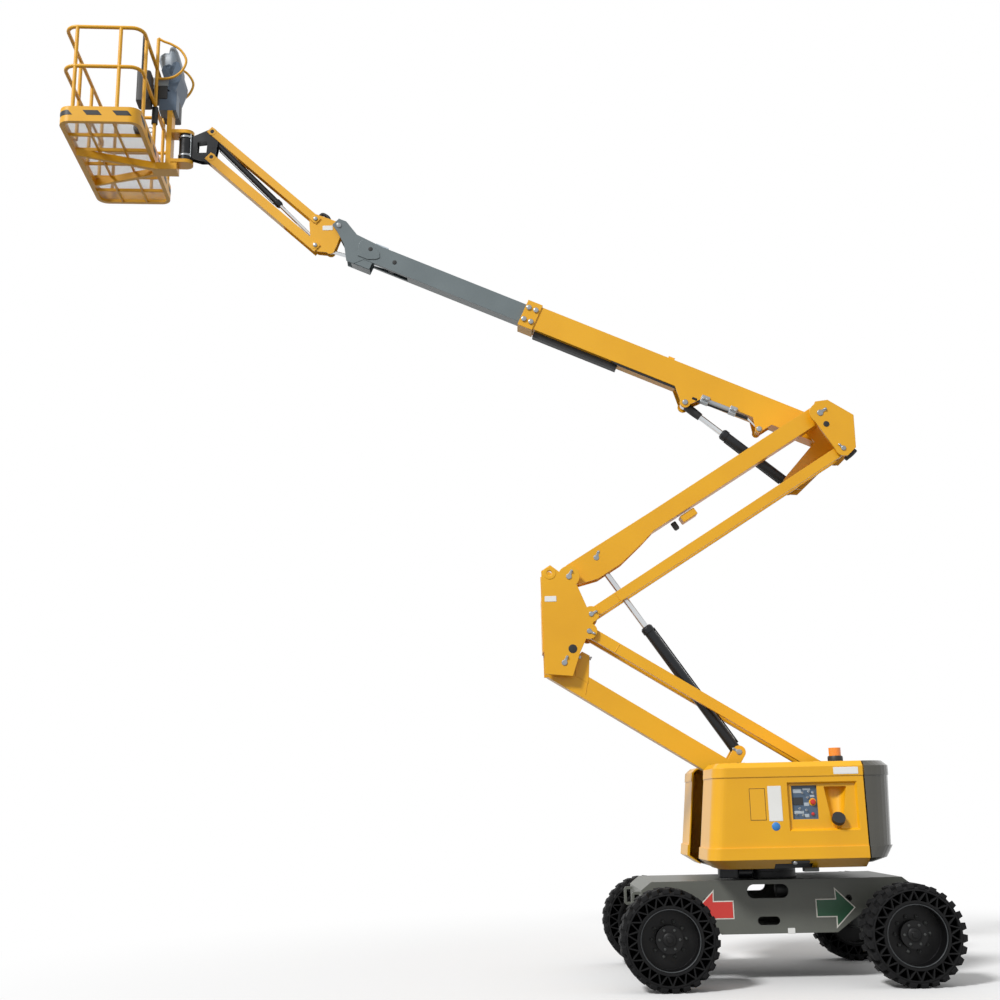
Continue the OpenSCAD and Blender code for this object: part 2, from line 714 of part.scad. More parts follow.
module upper_arm() {
  z = [arm_rise - upper_arm_h / 2, arm_rise + upper_arm_h / 2];
  color("#EFB234") reach_fore(pin_p2, arm_angle) difference() {
    union() {
      hollow([box_from, upper_arm_l + arm_tail], arm_lay, z, arm_wall);
      for (x = [0, upper_arm_l]) cross_bar([x, 0], big_tube, x > 0 ? tube_top : tube_lay);
      for (y = [arm_lay[0], arm_lay[1] - cheek_t]) slab([y, y + cheek_t])
        polygon(fit_to(cheek_shares, cheek_size));
      cross_bar([arm_eye_along, arm_eye_up], stub_r, [arm_lay[0], arm_y - arm_eye_half - eye_gap]);
      cross_bar([arm_eye_along, arm_eye_up], stub_r, [arm_y + arm_eye_half + eye_gap, arm_lay[1]]);
    }
    for (x = [0, upper_arm_l]) cross_bar([x, 0], big_pin + run_gap, [near_lay[0] - over, mid_lay[1] + over]);
  }
}

// a cylinder: local Z runs from the base pin to the rod's eye
module ram_place(a, b, y) {
  translate([a[0], y, a[1]]) rotate([0, 90 - lift_of(a, b), 0]) children();
}
module ram_barrel(l, r, wall, rod_r, eye_r, eye_w, pin_r) {
  difference() {
    union() {
      translate([0, 0, eye_r - wall]) cylinder(h = l - eye_r + wall, r = r);
      rotate([-90, 0, 0]) translate([0, 0, -eye_w]) cylinder(h = 2 * eye_w, r = eye_r);
    }
    translate([0, 0, eye_r + wall]) cylinder(h = l - eye_r - 2 * wall - 2 * wall, r = r - wall);
    translate([0, 0, eye_r + wall]) cylinder(h = l, r = rod_r + run_gap);
    rotate([-90, 0, 0]) translate([0, 0, -eye_w - over]) cylinder(h = 2 * eye_w + 2 * over, r = pin_r + run_gap);
  }
}
module ram_rod(d, l, r, eye_r, eye_w, pin_r) {
  translate([0, 0, d]) difference() {
    union() {
      translate([0, 0, -l]) cylinder(h = l, r = r);
      rotate([-90, 0, 0]) translate([0, 0, -eye_w]) cylinder(h = 2 * eye_w, r = eye_r);
    }
    rotate([-90, 0, 0]) translate([0, 0, -eye_w - over]) cylinder(h = 2 * eye_w + 2 * over, r = pin_r);
  }
}
arm_ram = [1470, 52, 9, arm_rod_r, 50, 38];
arm_rod_l = 1490;
eye_bore = 24;
module arm_barrel() {
  color("#20262C") ram_place(pin_c0, pin_c1, arm_y) ram_barrel(arm_ram[0], arm_ram[1], arm_ram[2], arm_ram[3], arm_ram[4], arm_ram[5], mid_pin);
}
module arm_rod() {
  color("#C9CDD0") ram_place(pin_c0, pin_c1, arm_y) ram_rod(span_of(pin_c0, pin_c1), arm_rod_l, arm_rod_r, arm_ram[4], arm_eye_half, eye_bore);
}

// top knuckle
top_span = 455;
top_shares = [[-0.132, 0.132], [-0.088, 0.264], [0.187, 0.297], [0.736, -0.066], [0.725, -0.813], [0.527, -1],
  [0.33, -0.945], [0.22, -0.758], [-0.136, -0.176]];
tongue_span = 700;
tongue_shares = [[0.171, 0.086], [0.471, -0.029], [0.471, -0.371], [-0.214, -1], [-0.429, -0.986], [-0.479, -0.857],
  [-0.414, -0.771], [0.086, -0.214]];
tongue_eye = 80;
base_boss = 48;
base_in = 130;
brace_share = 0.5;
brace_r = 42;
top_web = [296, 18];
top_web_z = [-330, -60];
module top_side() {
  translate(pin_p3) polygon(top_span * top_shares);
  spot(pin_p3, root_eye);
  spot(pin_q3, link_eye);
}
module tongue_side() {
  translate(pin_p3) polygon(tongue_span * tongue_shares);
  spot(pin_p4, root_eye);
  spot(pin_bb, tongue_eye);
}
module top_knuckle() {
  brace = pin_p4 + brace_share * (pin_bb - pin_p4);
  color("#EFB234") union() {
    slab(near_lay) top_side();
    slab(mid_lay) { top_side(); tongue_side(); }
    slab(out_lay) tongue_side();
    cross_bar(pin_p3, big_pin, [near_lay[0], mid_lay[1]]);
    cross_bar(pin_q3, mid_pin, [near_lay[0], mid_lay[1]]);
    cross_bar(pin_p4, big_pin, [mid_lay[0], out_lay[1]]);
    cross_bar(pin_bb, mid_pin, [mid_lay[0], out_lay[1]]);
    cross_bar(pin_bb, base_boss, [mid_lay[0], base_in]);
    cross_bar(pin_bb, base_boss, [2 * boom_y - base_in, out_lay[1]]);
    cross_bar(brace, brace_r, [mid_lay[0], out_lay[1]]);
    block([pin_p3[0] + top_web[0], pin_p3[0] + top_web[0] + top_web[1]], [near_lay[1] - over, mid_lay[0] + over],
      [pin_p3[1] + top_web_z[0], pin_p3[1] + top_web_z[1]]);
  }
}
boom_rod_r = 30;
boom_eye_half = boom_rod_r + over;
boom_ram = [870, 50, 9, boom_rod_r, 42, 46];
boom_rod_l = 1035;
module boom_barrel() {
  color("#20262C") ram_place(pin_bb, pin_be, boom_y) ram_barrel(boom_ram[0], boom_ram[1], boom_ram[2], boom_ram[3], boom_ram[4], boom_ram[5], mid_pin);
}
module boom_rod() {
  color("#C9CDD0") ram_place(pin_bb, pin_be, boom_y) ram_rod(span_of(pin_bb, pin_be), boom_rod_l, boom_rod_r, boom_ram[4], boom_eye_half, eye_bore);
}

// boom and fly
boom_wall = 8;
boom_back = 110;
boom_tube = 80;
collar_l = 165;
collar_up = 18;
collar_side = 12;
pad_l = 130;
pad_w = 26;
lug_t = 15;
lug_in = boom_w / 2 - lug_t;
lug_r = 56;
lug_top = 330;
// the small lugs of the levelling pump: place along the boom, drop, radius, width at the top
rear_lug = [710, 228, 40, 210];
// an opening over the rod's eye, between the lugs
relief_l = 300;
relief_w = 84;
top_lug = [1795, 70, 60, 45];
collar_bolt_r = 15;
collar_bolt_out = 12;
collar_bolt_x = [40, 120];
collar_bolt_z = 70;
// wear pads at the corners, hung from the boom's wall or carried by the fly
module pads(x, gap_to) {
  up = (boom_h / 2 - boom_wall - fly_h / 2) - run_gap;
  side = (boom_w / 2 - boom_wall - fly_w / 2) - run_gap;
  zi = gap_to ? boom_h / 2 - boom_wall - up : fly_h / 2 - over;
  yi = gap_to ? boom_w / 2 - boom_wall - side : fly_w / 2 - over;
  zo = gap_to ? boom_h / 2 - boom_wall + over : fly_h / 2 + up;
  yo = gap_to ? boom_w / 2 - boom_wall + over : fly_w / 2 + side;
  for (s = [-1, 1]) for (t = [-1, 1]) {
    y = boom_y + t * (fly_w - pad_w) / 2;
    z = t * (fly_h - pad_w) / 2;
    block([x, x + pad_l], [y - pad_w / 2, y + pad_w / 2], s > 0 ? [zi, zo] : [-zo, -zi]);
    block([x, x + pad_l], s > 0 ? [boom_y + yi, boom_y + yo] : [boom_y - yo, boom_y - yi], [z - pad_w / 2, z + pad_w / 2]);
  }
}
module main_boom() {
  hw = boom_w / 2;
  hh = boom_h / 2;
  color("#EFB234") reach_back(pin_p4, boom_angle) difference() {
    union() {
      difference() {
        union() {
          block([-boom_l, boom_back], [boom_y - hw, boom_y + hw], [-hh, hh]);
          block([-boom_l, -boom_l + collar_l], [boom_y - hw - collar_side, boom_y + hw + collar_side], [-hh - collar_up, hh + collar_up]);
        }
        block([-boom_l - over, boom_back - boom_wall], [boom_y - hw + boom_wall, boom_y + hw - boom_wall],
          [-hh + boom_wall, hh - boom_wall]);
      }
      pads(-boom_l + over, true);
      cross_bar([0, 0], boom_tube, [boom_y - hw, boom_y + hw]);
      for (s = [-1, 1]) slab(s > 0 ? [boom_y + lug_in, boom_y + lug_in + lug_t] : [boom_y - lug_in - lug_t, boom_y - lug_in]) {
        polygon([[-bracket_along - lug_top / 2, -hh + over], [-bracket_along + lug_top / 2, -hh + over],
          [-bracket_along + lug_r, -bracket_drop], [-bracket_along - lug_r, -bracket_drop]]);
        spot([-bracket_along, -bracket_drop], lug_r);
        polygon([[-rear_lug[0] - rear_lug[3] / 2, -hh + over], [-rear_lug[0] + rear_lug[3] / 2, -hh + over],
          [-rear_lug[0] + rear_lug[2], -rear_lug[1]], [-rear_lug[0] - rear_lug[2], -rear_lug[1]]]);
        spot([-rear_lug[0], -rear_lug[1]], rear_lug[2]);
      }
      cross_bar([-rear_lug[0], -rear_lug[1]], mid_pin, [boom_y - hw, boom_y + hw]);
      cross_bar([-bracket_along, -bracket_drop], stub_r, [boom_y - lug_in - lug_t, boom_y - boom_eye_half - eye_gap]);
      cross_bar([-bracket_along, -bracket_drop], stub_r, [boom_y + boom_eye_half + eye_gap, boom_y + lug_in + lug_t]);
      block([-top_lug[0] - top_lug[1], -top_lug[0]], [boom_y - top_lug[2] / 2, boom_y + top_lug[2] / 2], [hh - over, hh + top_lug[3]]);
      for (x = collar_bolt_x) for (z = [-collar_bolt_z, collar_bolt_z])
        cross_bar([-boom_l + x, z], collar_bolt_r, [boom_y - hw - collar_side - collar_bolt_out, boom_y - hw]);
    }
    cross_bar([0, 0], big_pin + run_gap, [boom_y - boom_w, boom_y + boom_w]);
    block([-bracket_along - relief_l / 2, -bracket_along + relief_l / 2], [boom_y - relief_w / 2, boom_y + relief_w / 2],
      [-hh - over, -hh + boom_wall + over]);
  }
}
tray_in = [190, 1140];
tray_w = 84;
tray_h = 62;
module hose_tray() {
  color("#1E1F1F") reach_back(pin_p4, boom_angle)
    block([-boom_l + tray_in[0], -boom_l + tray_in[1]], [boom_y - tray_w / 2, boom_y + tray_w / 2],
      [-boom_h / 2 - tray_h, -boom_h / 2]);
}
fly_insert = 700;
fly_back = boom_l - fly_insert;
fly_short = 497;
fly_end = tip_reach - fly_short;
fly_wall = 7;
rod_slot = [430, 84];
tip_t = 11;
tip_l = 547;
tip_shares = [[1, 0.495], [0.415, 0.619], [0.104, 1.071], [-0.06, 1.071], [-0.124, 0.619], [0.013, 0.405],
  [0.269, -0.143], [0.452, -0.905], [0.616, -0.905], [0.762, -0.5], [1, -0.495]];
tip_pin = 28;
tip_boss = 48;
module fly_boom() {
  hw = fly_w / 2;
  hh = fly_h / 2;
  color("#6F7B7C") reach_back(pin_p4, boom_angle) union() {
    difference() {
      block([-fly_end, -fly_back], [boom_y - hw, boom_y + hw], [-hh, hh]);
      block([-fly_end - over, -fly_back + over], [boom_y - hw + fly_wall, boom_y + hw - fly_wall], [-hh + fly_wall, hh - fly_wall]);
      block([-fly_end - over, -fly_end + rod_slot[0]], [boom_y - rod_slot[1] / 2, boom_y + rod_slot[1] / 2], [-hh - over, 0]);
    }
    pads(-fly_back - pad_l, false);
    for (s = [-1, 1]) slab(s > 0 ? [boom_y + hw - tip_t, boom_y + hw] : [boom_y - hw, boom_y - hw + tip_t])
      translate([-tip_reach, 0]) polygon(fit_to(tip_shares, [tip_l, fly_h]));
    cross_bar([-tip_reach, tip_up], tip_pin, [boom_y - hw, boom_y + hw]);
    cross_bar([-tip_reach + level_back, -level_under], mid_pin, [boom_y - hw, boom_y + hw]);
  }
}
slim_rod_r = 20;
slim_eye_half = slim_rod_r + over;
level_ram = [500, 36, 6, slim_rod_r, 34, 30];
level_rod_l = 860;
module level_barrel() {
  color("#20262C") ram_place(pin_lb, pin_le, boom_y) ram_barrel(level_ram[0], level_ram[1], level_ram[2], level_ram[3], level_ram[4], level_ram[5], mid_pin);
}
module level_rod() {
  color("#C9CDD0") ram_place(pin_lb, pin_le, boom_y) ram_rod(span_of(pin_lb, pin_le), level_rod_l, slim_rod_r, level_ram[4], slim_eye_half, mid_pin / 2);
}

// jib
base_lay = [36, 46];
wall_lay = [50, 56];
boss_lay = [50, 58];
jib_pin = 22;
jib_boss = 44;
jib_tube = 40;
base_span = 325;
base_shares = [[0.123, 0.092], [-0.769, 0.462], [-1, 0.4], [-1, 0.092], [-0.923, -0.769], [-0.708, -0.892],
  [-0.215, -0.954], [-0.092, -0.738], [0.123, -0.154]];
level_boss = 22;
module both(lay) {
  for (s = [-1, 1]) slab(s > 0 ? [boom_y + lay[0], boom_y + lay[1]] : [boom_y - lay[1], boom_y - lay[0]]) children();
}
module jib_base() {
  in = [boom_y - base_lay[1], boom_y + base_lay[1]];
  color("#EFB234") difference() {
    union() {
      both(base_lay) {
        translate(pin_t) polygon(base_span * base_shares);
        for (p = [pin_t, pin_j1, pin_j2, pin_le]) spot(p, jib_boss + tip_boss / 8);
      }
      cross_bar(pin_t, tip_boss, [boom_y - fly_w / 2 + tip_t + face_gap, boom_y + fly_w / 2 - tip_t - face_gap]);
      for (p = [pin_j1, pin_j2]) {
        cross_bar(p, jib_pin, [boom_y - boss_lay[1], boom_y - base_lay[0]]);
        cross_bar(p, jib_pin, [boom_y + base_lay[0], boom_y + boss_lay[1]]);
      }
      for (p = [pin_je, pin_le]) {
        cross_bar(p, level_boss, [in[0], boom_y - slim_eye_half - eye_gap]);
        cross_bar(p, level_boss, [boom_y + slim_eye_half + eye_gap, in[1]]);
      }
    }
    cross_bar(pin_t, tip_pin + run_gap, [boom_y - boom_w, boom_y + boom_w]);
  }
}
arm_chan = [-62, 38];
link_chan = [-40, 42];
chan_t = 6;
chan_from = 420;
module channel(z, web_z, from, to) {
  difference() {
    union() {
      both(wall_lay) translate([-jib_l - jib_boss, z[0]]) square([jib_l + 2 * jib_boss, z[1] - z[0]]);
      both(boss_lay) { spot([0, 0], jib_boss); spot([-jib_l, 0], jib_boss); }
      block([-to, -from], [boom_y - wall_lay[1], boom_y + wall_lay[1]], web_z);
    }
    for (x = [0, -jib_l]) cross_bar([x, 0], jib_pin + run_gap, [boom_y - boom_w, boom_y + boom_w]);
  }
}
module jib_arm() {
  color("#EFB234") reach_back(pin_j1, jib_angle) channel(arm_chan, [arm_chan[0], arm_chan[0] + chan_t], chan_from, jib_l - jib_tube);
}
module jib_link() {
  color("#EFB234") reach_back(pin_j2, jib_angle) channel(link_chan, [link_chan[1] - chan_t, link_chan[1]], chan_from, jib_l - chan_from);
}
turn_off = 298;
turn_x = pin_k1[0] - turn_off;
turn_r = 76;
turn_z = [-26, 288];
turn_pin = 30;
head_shares = [[0.129, -0.129], [0.148, 0.194], [0.226, 0.613], [0.129, 1.097], [-0.129, 1.097], [-0.774, 0.806],
  [-0.839, 0.032], [-0.387, -0.116]];
head_hole_shares = [[-0.194, 0.194], [-0.161, 0.645], [-0.516, 0.613], [-0.532, 0.194]];
module jib_head() {
  in = [boom_y - base_lay[1], boom_y + base_lay[1]];
  color("#20262C") difference() {
    union() {
      both(base_lay) difference() {
        union() {
          translate(pin_k1) polygon(jib_gap * head_shares);
          spot(pin_k1, jib_boss);
          spot(pin_k2, jib_boss);
        }
        translate(pin_k1) polygon(jib_gap * head_hole_shares);
      }
      for (p = [pin_k1, pin_k2]) cross_bar(p, jib_pin, [boom_y - boss_lay[1], boom_y + boss_lay[1]]);
      cross_bar(pin_jb, jib_pin, in);
      translate([turn_x, boom_y, pin_k1[1] + turn_z[0]]) cylinder(h = turn_z[1] - turn_z[0], r = turn_r);
    }
    translate([turn_x, boom_y, pin_k1[1] + turn_z[0] - over]) cylinder(h = turn_z[1] - turn_z[0] + 2 * over, r = turn_pin + run_gap);
  }
}
jib_ram = [1050, 32, 6, slim_rod_r, 34, 30];
jib_rod_l = 900;
module jib_barrel() {
  color("#20262C") ram_place(pin_jb, pin_je, boom_y) ram_barrel(jib_ram[0], jib_ram[1], jib_ram[2], jib_ram[3], jib_ram[4], jib_ram[5], jib_pin);
}
module jib_rod() {
  color("#C9CDD0") ram_place(pin_jb, pin_je, boom_y) ram_rod(span_of(pin_jb, pin_je), jib_rod_l, slim_rod_r, jib_ram[4], slim_eye_half, mid_pin / 2);
}

// basket, in the frame of its rotator, reaching to -X
floor_z = -77;
rear_off = 310;
mount_half = 85;
mount_t = 42;
mount_x = [-205, -150];
beam_h = 80;
post_top = 560;
fork_y = 360;
fork_w = 42;
fork_in = 60;
foot_out = 70;
beam_wall = 6;
floor_t = 36;
toe_h = 174;
toe_t = 5;
tube_r = 20;
mid_share = 0.56;
corner_r = 120;
module basket_frame() {
  translate([turn_x, boom_y, pin_k1[1]]) rotate([0, 0, basket_turn]) children();
}
module basket_mount() {
  color("#EFB234") basket_frame() union() {
    for (z = [turn_z[1] + face_gap, turn_z[0] - face_gap - mount_t]) {
      block([mount_x[1] - over, 0], [-mount_half, mount_half], [z, z + mount_t]);
      translate([0, 0, z]) cylinder(h = mount_t, r = mount_half);
    }
    translate([0, 0, turn_z[0] - face_gap - over]) cylinder(h = turn_z[1] - turn_z[0] + 2 * face_gap + 2 * over, r = turn_pin);
    hollow(mount_x, [-mount_half, mount_half], [floor_z - beam_wall, post_top], beam_wall);
    hollow([-rear_off, mount_x[1] + foot_out], [-mount_half, mount_half], [floor_z - beam_h, floor_z], beam_wall);
    translate([0, 0, floor_z - beam_h]) linear_extrude(beam_h) fork_plan();
  }
}
// the fork under the floor: two arms that spread from the post to a cross bar
module fork_plan() {
  front = -rear_off - basket_d + fork_in;
  difference() {
    polygon([[-rear_off + over, -mount_half], [-rear_off + over, mount_half], [front, fork_y], [front, -fork_y]]);
    polygon([[-rear_off - fork_w, -mount_half + fork_w], [-rear_off - fork_w, mount_half - fork_w],
      [front + fork_w, fork_y - fork_w], [front + fork_w, -fork_y + fork_w]]);
  }
}
module floor_plan(inset) {
  x0 = -rear_off - basket_d + inset;
  x1 = -rear_off - inset;
  h = basket_w / 2 - inset;
  r = corner_r - inset;
  translate([x0 + r, -h]) square([x1 - x0 - 2 * r, 2 * h]);
  translate([x0, -h + r]) square([x1 - x0, 2 * h - 2 * r]);
  for (x = [x0 + r, x1 - r]) for (y = [-h + r, h - r]) translate([x, y]) circle(r = r);
}
sheet_t = 4;
rim_w = 45;
bar_w = 16;
bars_x = 2;
bars_y = 5;
module basket_floor() {
  x0 = -rear_off - basket_d;
  color("#EFB234") basket_frame() translate([0, 0, floor_z]) {
    difference() {
      linear_extrude(toe_h) floor_plan(0);
      translate([0, 0, floor_t]) linear_extrude(toe_h) floor_plan(toe_t);
      translate([0, 0, -over]) linear_extrude(toe_h) floor_plan(rim_w);
    }
    for (i = [1:bars_y]) {
      y = basket_w * (i / (bars_y + 1) - 1 / 2);
      block([x0 + rim_w - over, -rear_off - rim_w + over], [y - bar_w / 2, y + bar_w / 2], [0, floor_t]);
    }
    for (i = [1:bars_x]) {
      x = x0 + basket_d * i / (bars_x + 1);
      block([x - bar_w / 2, x + bar_w / 2], [-basket_w / 2 + rim_w - over, basket_w / 2 - rim_w + over], [0, floor_t]);
    }
  }
}
module floor_mesh() {
  color("#8A8F90") basket_frame() translate([0, 0, floor_z + floor_t]) linear_extrude(sheet_t) floor_plan(toe_t + face_gap);
}
module run(a, b) {
  d = b - a;
  translate(a) rotate([0, 0, atan2(d[1], d[0])]) rotate([0, atan2(norm([d[0], d[1]]), d[2]), 0]) cylinder(h = norm(d), r = tube_r);
}
module bend(p, from) {
  translate(p) rotate([0, 0, from]) rotate_extrude(angle = 90) translate([corner_r - tube_r, 0]) circle(r = tube_r);
}
gate_y = [250, 760];
hoop_r = 190;
hoop_tube = 14;
hoop_side = 45;
hoop_z = 965;
// a hoop that guards the controls, standing out from the rear rails
module hoop(p) {
  translate(p) rotate([0, 90, 0]) rotate([90, 0, 0]) rotate_extrude(angle = 180)
    translate([hoop_r, 0]) circle(r = hoop_tube);
}
module guard_rail() {
  x0 = -rear_off - basket_d + tube_r;
  x1 = -rear_off - tube_r;
  h = basket_w / 2 - tube_r;
  r = corner_r - tube_r;
  zt = floor_z + floor_t + rail_h - tube_r;
  zm = floor_z + floor_t + rail_h * mid_share;
  zl = floor_z + toe_h;
  color("#EFB234") basket_frame() union() {
    for (z = [zm, zt]) {
      for (s = [-1, 1]) {
        run([x0 + r, s * h, z], [x1 - r, s * h, z]);
        bend([x0 + r, s * (h - r), z], s > 0 ? 90 : 180);
        bend([x1 - r, s * (h - r), z], s > 0 ? 0 : -90);
      }
      run([x1, -h + r, z], [x1, h - r, z]);
    }
    run([x0, -h + r, zt], [x0, h - r, zt]);
    run([x0, -h + r, zm], [x0, gate_y[0], zm]);
    run([x0, gate_y[1], zm], [x0, h - r, zm]);
    for (s = [-1, 1]) for (x = [x0 + 2 * r, x1 - 2 * r]) run([x, s * h, zl], [x, s * h, zt]);
    for (y = [-h + 2 * r, gate_y[0], gate_y[1]]) run([x0, y, zl], [x0, y, zt]);
    for (y = [-h + 2 * r, h - 2 * r]) run([x1, y, zl], [x1, y, zt]);
    for (y = [console_y[0] - hoop_side, console_y[1] + hoop_side]) {
      run([x1, y, zl], [x1, y, hoop_z + hoop_r + tube_r]);
      hoop([x1, y, hoop_z]);
    }
  }
}
gate_r = 16;
gate_ring = 32;
ring_t = 60;
module gate_bar() {
  x0 = -rear_off - basket_d + tube_r;
  zm = floor_z + floor_t + rail_h * mid_share;
  color("#EFB234") basket_frame() difference() {
    union() {
      translate([x0, gate_y[0], zm + tube_r + ring_t / 2]) rotate([-90, 0, 0]) cylinder(h = gate_y[1] - gate_y[0], r = gate_r);
      for (y = gate_y) translate([x0, y, zm + tube_r + face_gap]) cylinder(h = ring_t, r = gate_ring);
    }
    for (y = gate_y) translate([x0, y, zm - toe_h]) cylinder(h = rail_h, r = tube_r + 2 * run_gap);
  }
}
console_at = [-300, 780];
console_size = [235, 395];
console_y = [-85, 300];
console_wall = 8;
console_shares = [[0.03, 0.7], [0.36, 0.12], [0.55, 0], [0.72, 0.04], [0.98, 0.5], [1, 0.68], [0.86, 0.95], [0.72, 1],
  [0.56, 0.95], [0.5, 0.86], [0.38, 0.9], [0.12, 0.84]];
box_y = [-85, 85];
box_x = [-300, -112];
box_high = 235;
// the covered upper controls above the box of valves that stands on the post
module console() {
  inner = console_size - [2 * console_wall, 2 * console_wall];
  color("#6C7480") basket_frame() union() {
    difference() {
      slab(console_y) translate(console_at) polygon(fit_to(console_shares, console_size));
      slab([console_y[0] + console_wall, console_y[1] - console_wall])
        translate(console_at + [console_wall, console_wall]) polygon(fit_to(console_shares, inner));
    }
    hollow(box_x, box_y, [post_top, post_top + box_high], console_wall);
  }
}

chassis_frame();
steer_axle();
fixed_axle();
slew_ring();
steer_knuckle_left();
steer_knuckle_right();
rim_steer_left();
rim_steer_right();
rim_fixed_left();
rim_fixed_right();
tyre_steer_left();
tyre_steer_right();
tyre_fixed_left();
tyre_fixed_right();
turntable_frame();
counterweight();
engine_block();
hood_left();
hood_right();
control_panel();
filler_cap();
beacon();
lower_arm();
lower_links();
mid_knuckle();
upper_arm();
upper_links();
top_knuckle();
arm_barrel();
arm_rod();
main_boom();
hose_tray();
fly_boom();
boom_barrel();
boom_rod();
level_barrel();
level_rod();
jib_base();
jib_arm();
jib_link();
jib_head();
jib_barrel();
jib_rod();
basket_mount();
basket_floor();
floor_mesh();
guard_rail();
gate_bar();
console();
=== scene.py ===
import json
import math

import bpy
import numpy as np
from mathutils import Matrix, Vector


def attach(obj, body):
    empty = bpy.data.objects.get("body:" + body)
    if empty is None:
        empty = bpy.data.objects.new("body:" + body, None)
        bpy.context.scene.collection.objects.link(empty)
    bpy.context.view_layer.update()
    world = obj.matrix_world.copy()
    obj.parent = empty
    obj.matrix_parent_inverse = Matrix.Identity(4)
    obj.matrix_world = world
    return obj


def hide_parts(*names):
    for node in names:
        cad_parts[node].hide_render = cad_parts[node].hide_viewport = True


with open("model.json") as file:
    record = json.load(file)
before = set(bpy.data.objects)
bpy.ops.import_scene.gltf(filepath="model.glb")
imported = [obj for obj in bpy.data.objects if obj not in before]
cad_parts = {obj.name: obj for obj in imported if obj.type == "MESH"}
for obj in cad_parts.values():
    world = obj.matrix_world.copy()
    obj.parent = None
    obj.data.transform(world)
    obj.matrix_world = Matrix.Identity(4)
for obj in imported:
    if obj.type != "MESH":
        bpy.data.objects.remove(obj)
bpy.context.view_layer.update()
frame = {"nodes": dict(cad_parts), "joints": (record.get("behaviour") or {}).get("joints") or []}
nodes = frame["nodes"]

# the photograph's viewpoint: metres, degrees, focal length in pixels of a square image
viewpoint = {
    "place": (-2.395, -12.461, 1.549),
    "pitch": 13.76,
    "yaw": -0.15,
    "roll": -1.23,
    "focal": 1260.0,
    "imageSide": 1000.0,
    "sensor": 36.0,
    "farthest": 200.0,
}


def setCamera(v):
    # forward from pitch and yaw, then right and up turned by the roll about it
    pitch, yaw, roll = (math.radians(v[k]) for k in ("pitch", "yaw", "roll"))
    forward = Vector((math.sin(yaw) * math.cos(pitch), math.cos(yaw) * math.cos(pitch), math.sin(pitch)))
    right = Vector((math.cos(yaw), -math.sin(yaw), 0.0))
    up = right.cross(forward)
    rolledRight = math.cos(roll) * right + math.sin(roll) * up
    rolledUp = -math.sin(roll) * right + math.cos(roll) * up
    lensData = bpy.data.cameras.new("viewpoint")
    lensData.sensor_width = v["sensor"]
    lensData.lens = v["focal"] / v["imageSide"] * v["sensor"]
    lensData.clip_end = v["farthest"]
    camera = bpy.data.objects.new("viewpoint", lensData)
    turn = Matrix((rolledRight, rolledUp, -forward)).transposed().to_4x4()
    camera.matrix_world = Matrix.Translation(v["place"]) @ turn
    bpy.context.scene.collection.objects.link(camera)
    bpy.context.scene.camera = camera


setCamera(viewpoint)


# materials
def linearColour(hexText):
    # sRGB bytes to linear light, channel by channel
    channels = [int(hexText[i : i + 2], 16) / 255 for i in (1, 3, 5)]
    return tuple(c / 12.92 if c <= 0.04045 else ((c + 0.055) / 1.055) ** 2.4 for c in channels) + (1.0,)


def addNode(tree, kind, values=None, links=None, **settings):
    # one node with its properties, its typed-in sockets and its incoming links
    made = tree.nodes.new(kind)
    for key, value in settings.items():
        setattr(made, key, value)
    for key, value in (values or {}).items():
        made.inputs[key].default_value = value
    for key, source in (links or {}).items():
        tree.links.new(source, made.inputs[key])
    return made


def newMaterial(name):
    material = bpy.data.materials.new(name)
    material.use_nodes = True
    material.node_tree.nodes.clear()
    return material, material.node_tree


def rampStops(ramp, stops):
    # a ramp's colours from (place, colour) pairs
    while len(ramp.color_ramp.elements) < len(stops):
        ramp.color_ramp.elements.new(0.5)
    for element, (place, colour) in zip(ramp.color_ramp.elements, stops):
        element.position = place
        element.color = colour


# what the finishes share: patterns in repeats per metre, so the tone drifts over 625 mm and scuffs are 26 mm wide;
# the grain is 2.4 mm, coarser than real orange peel, which would not show; edges are softened by 6 mm
commonLook = {"driftPerMetre": 1.6, "peelPerMetre": 420.0, "peel": 0.12, "scuffPerMetre": 38.0, "edge": 0.006,
              "wear": 0.5, "metallic": 0.0, "coat": 0.0, "coatRough": 0.12, "specular": 0.5, "ior": 1.5}


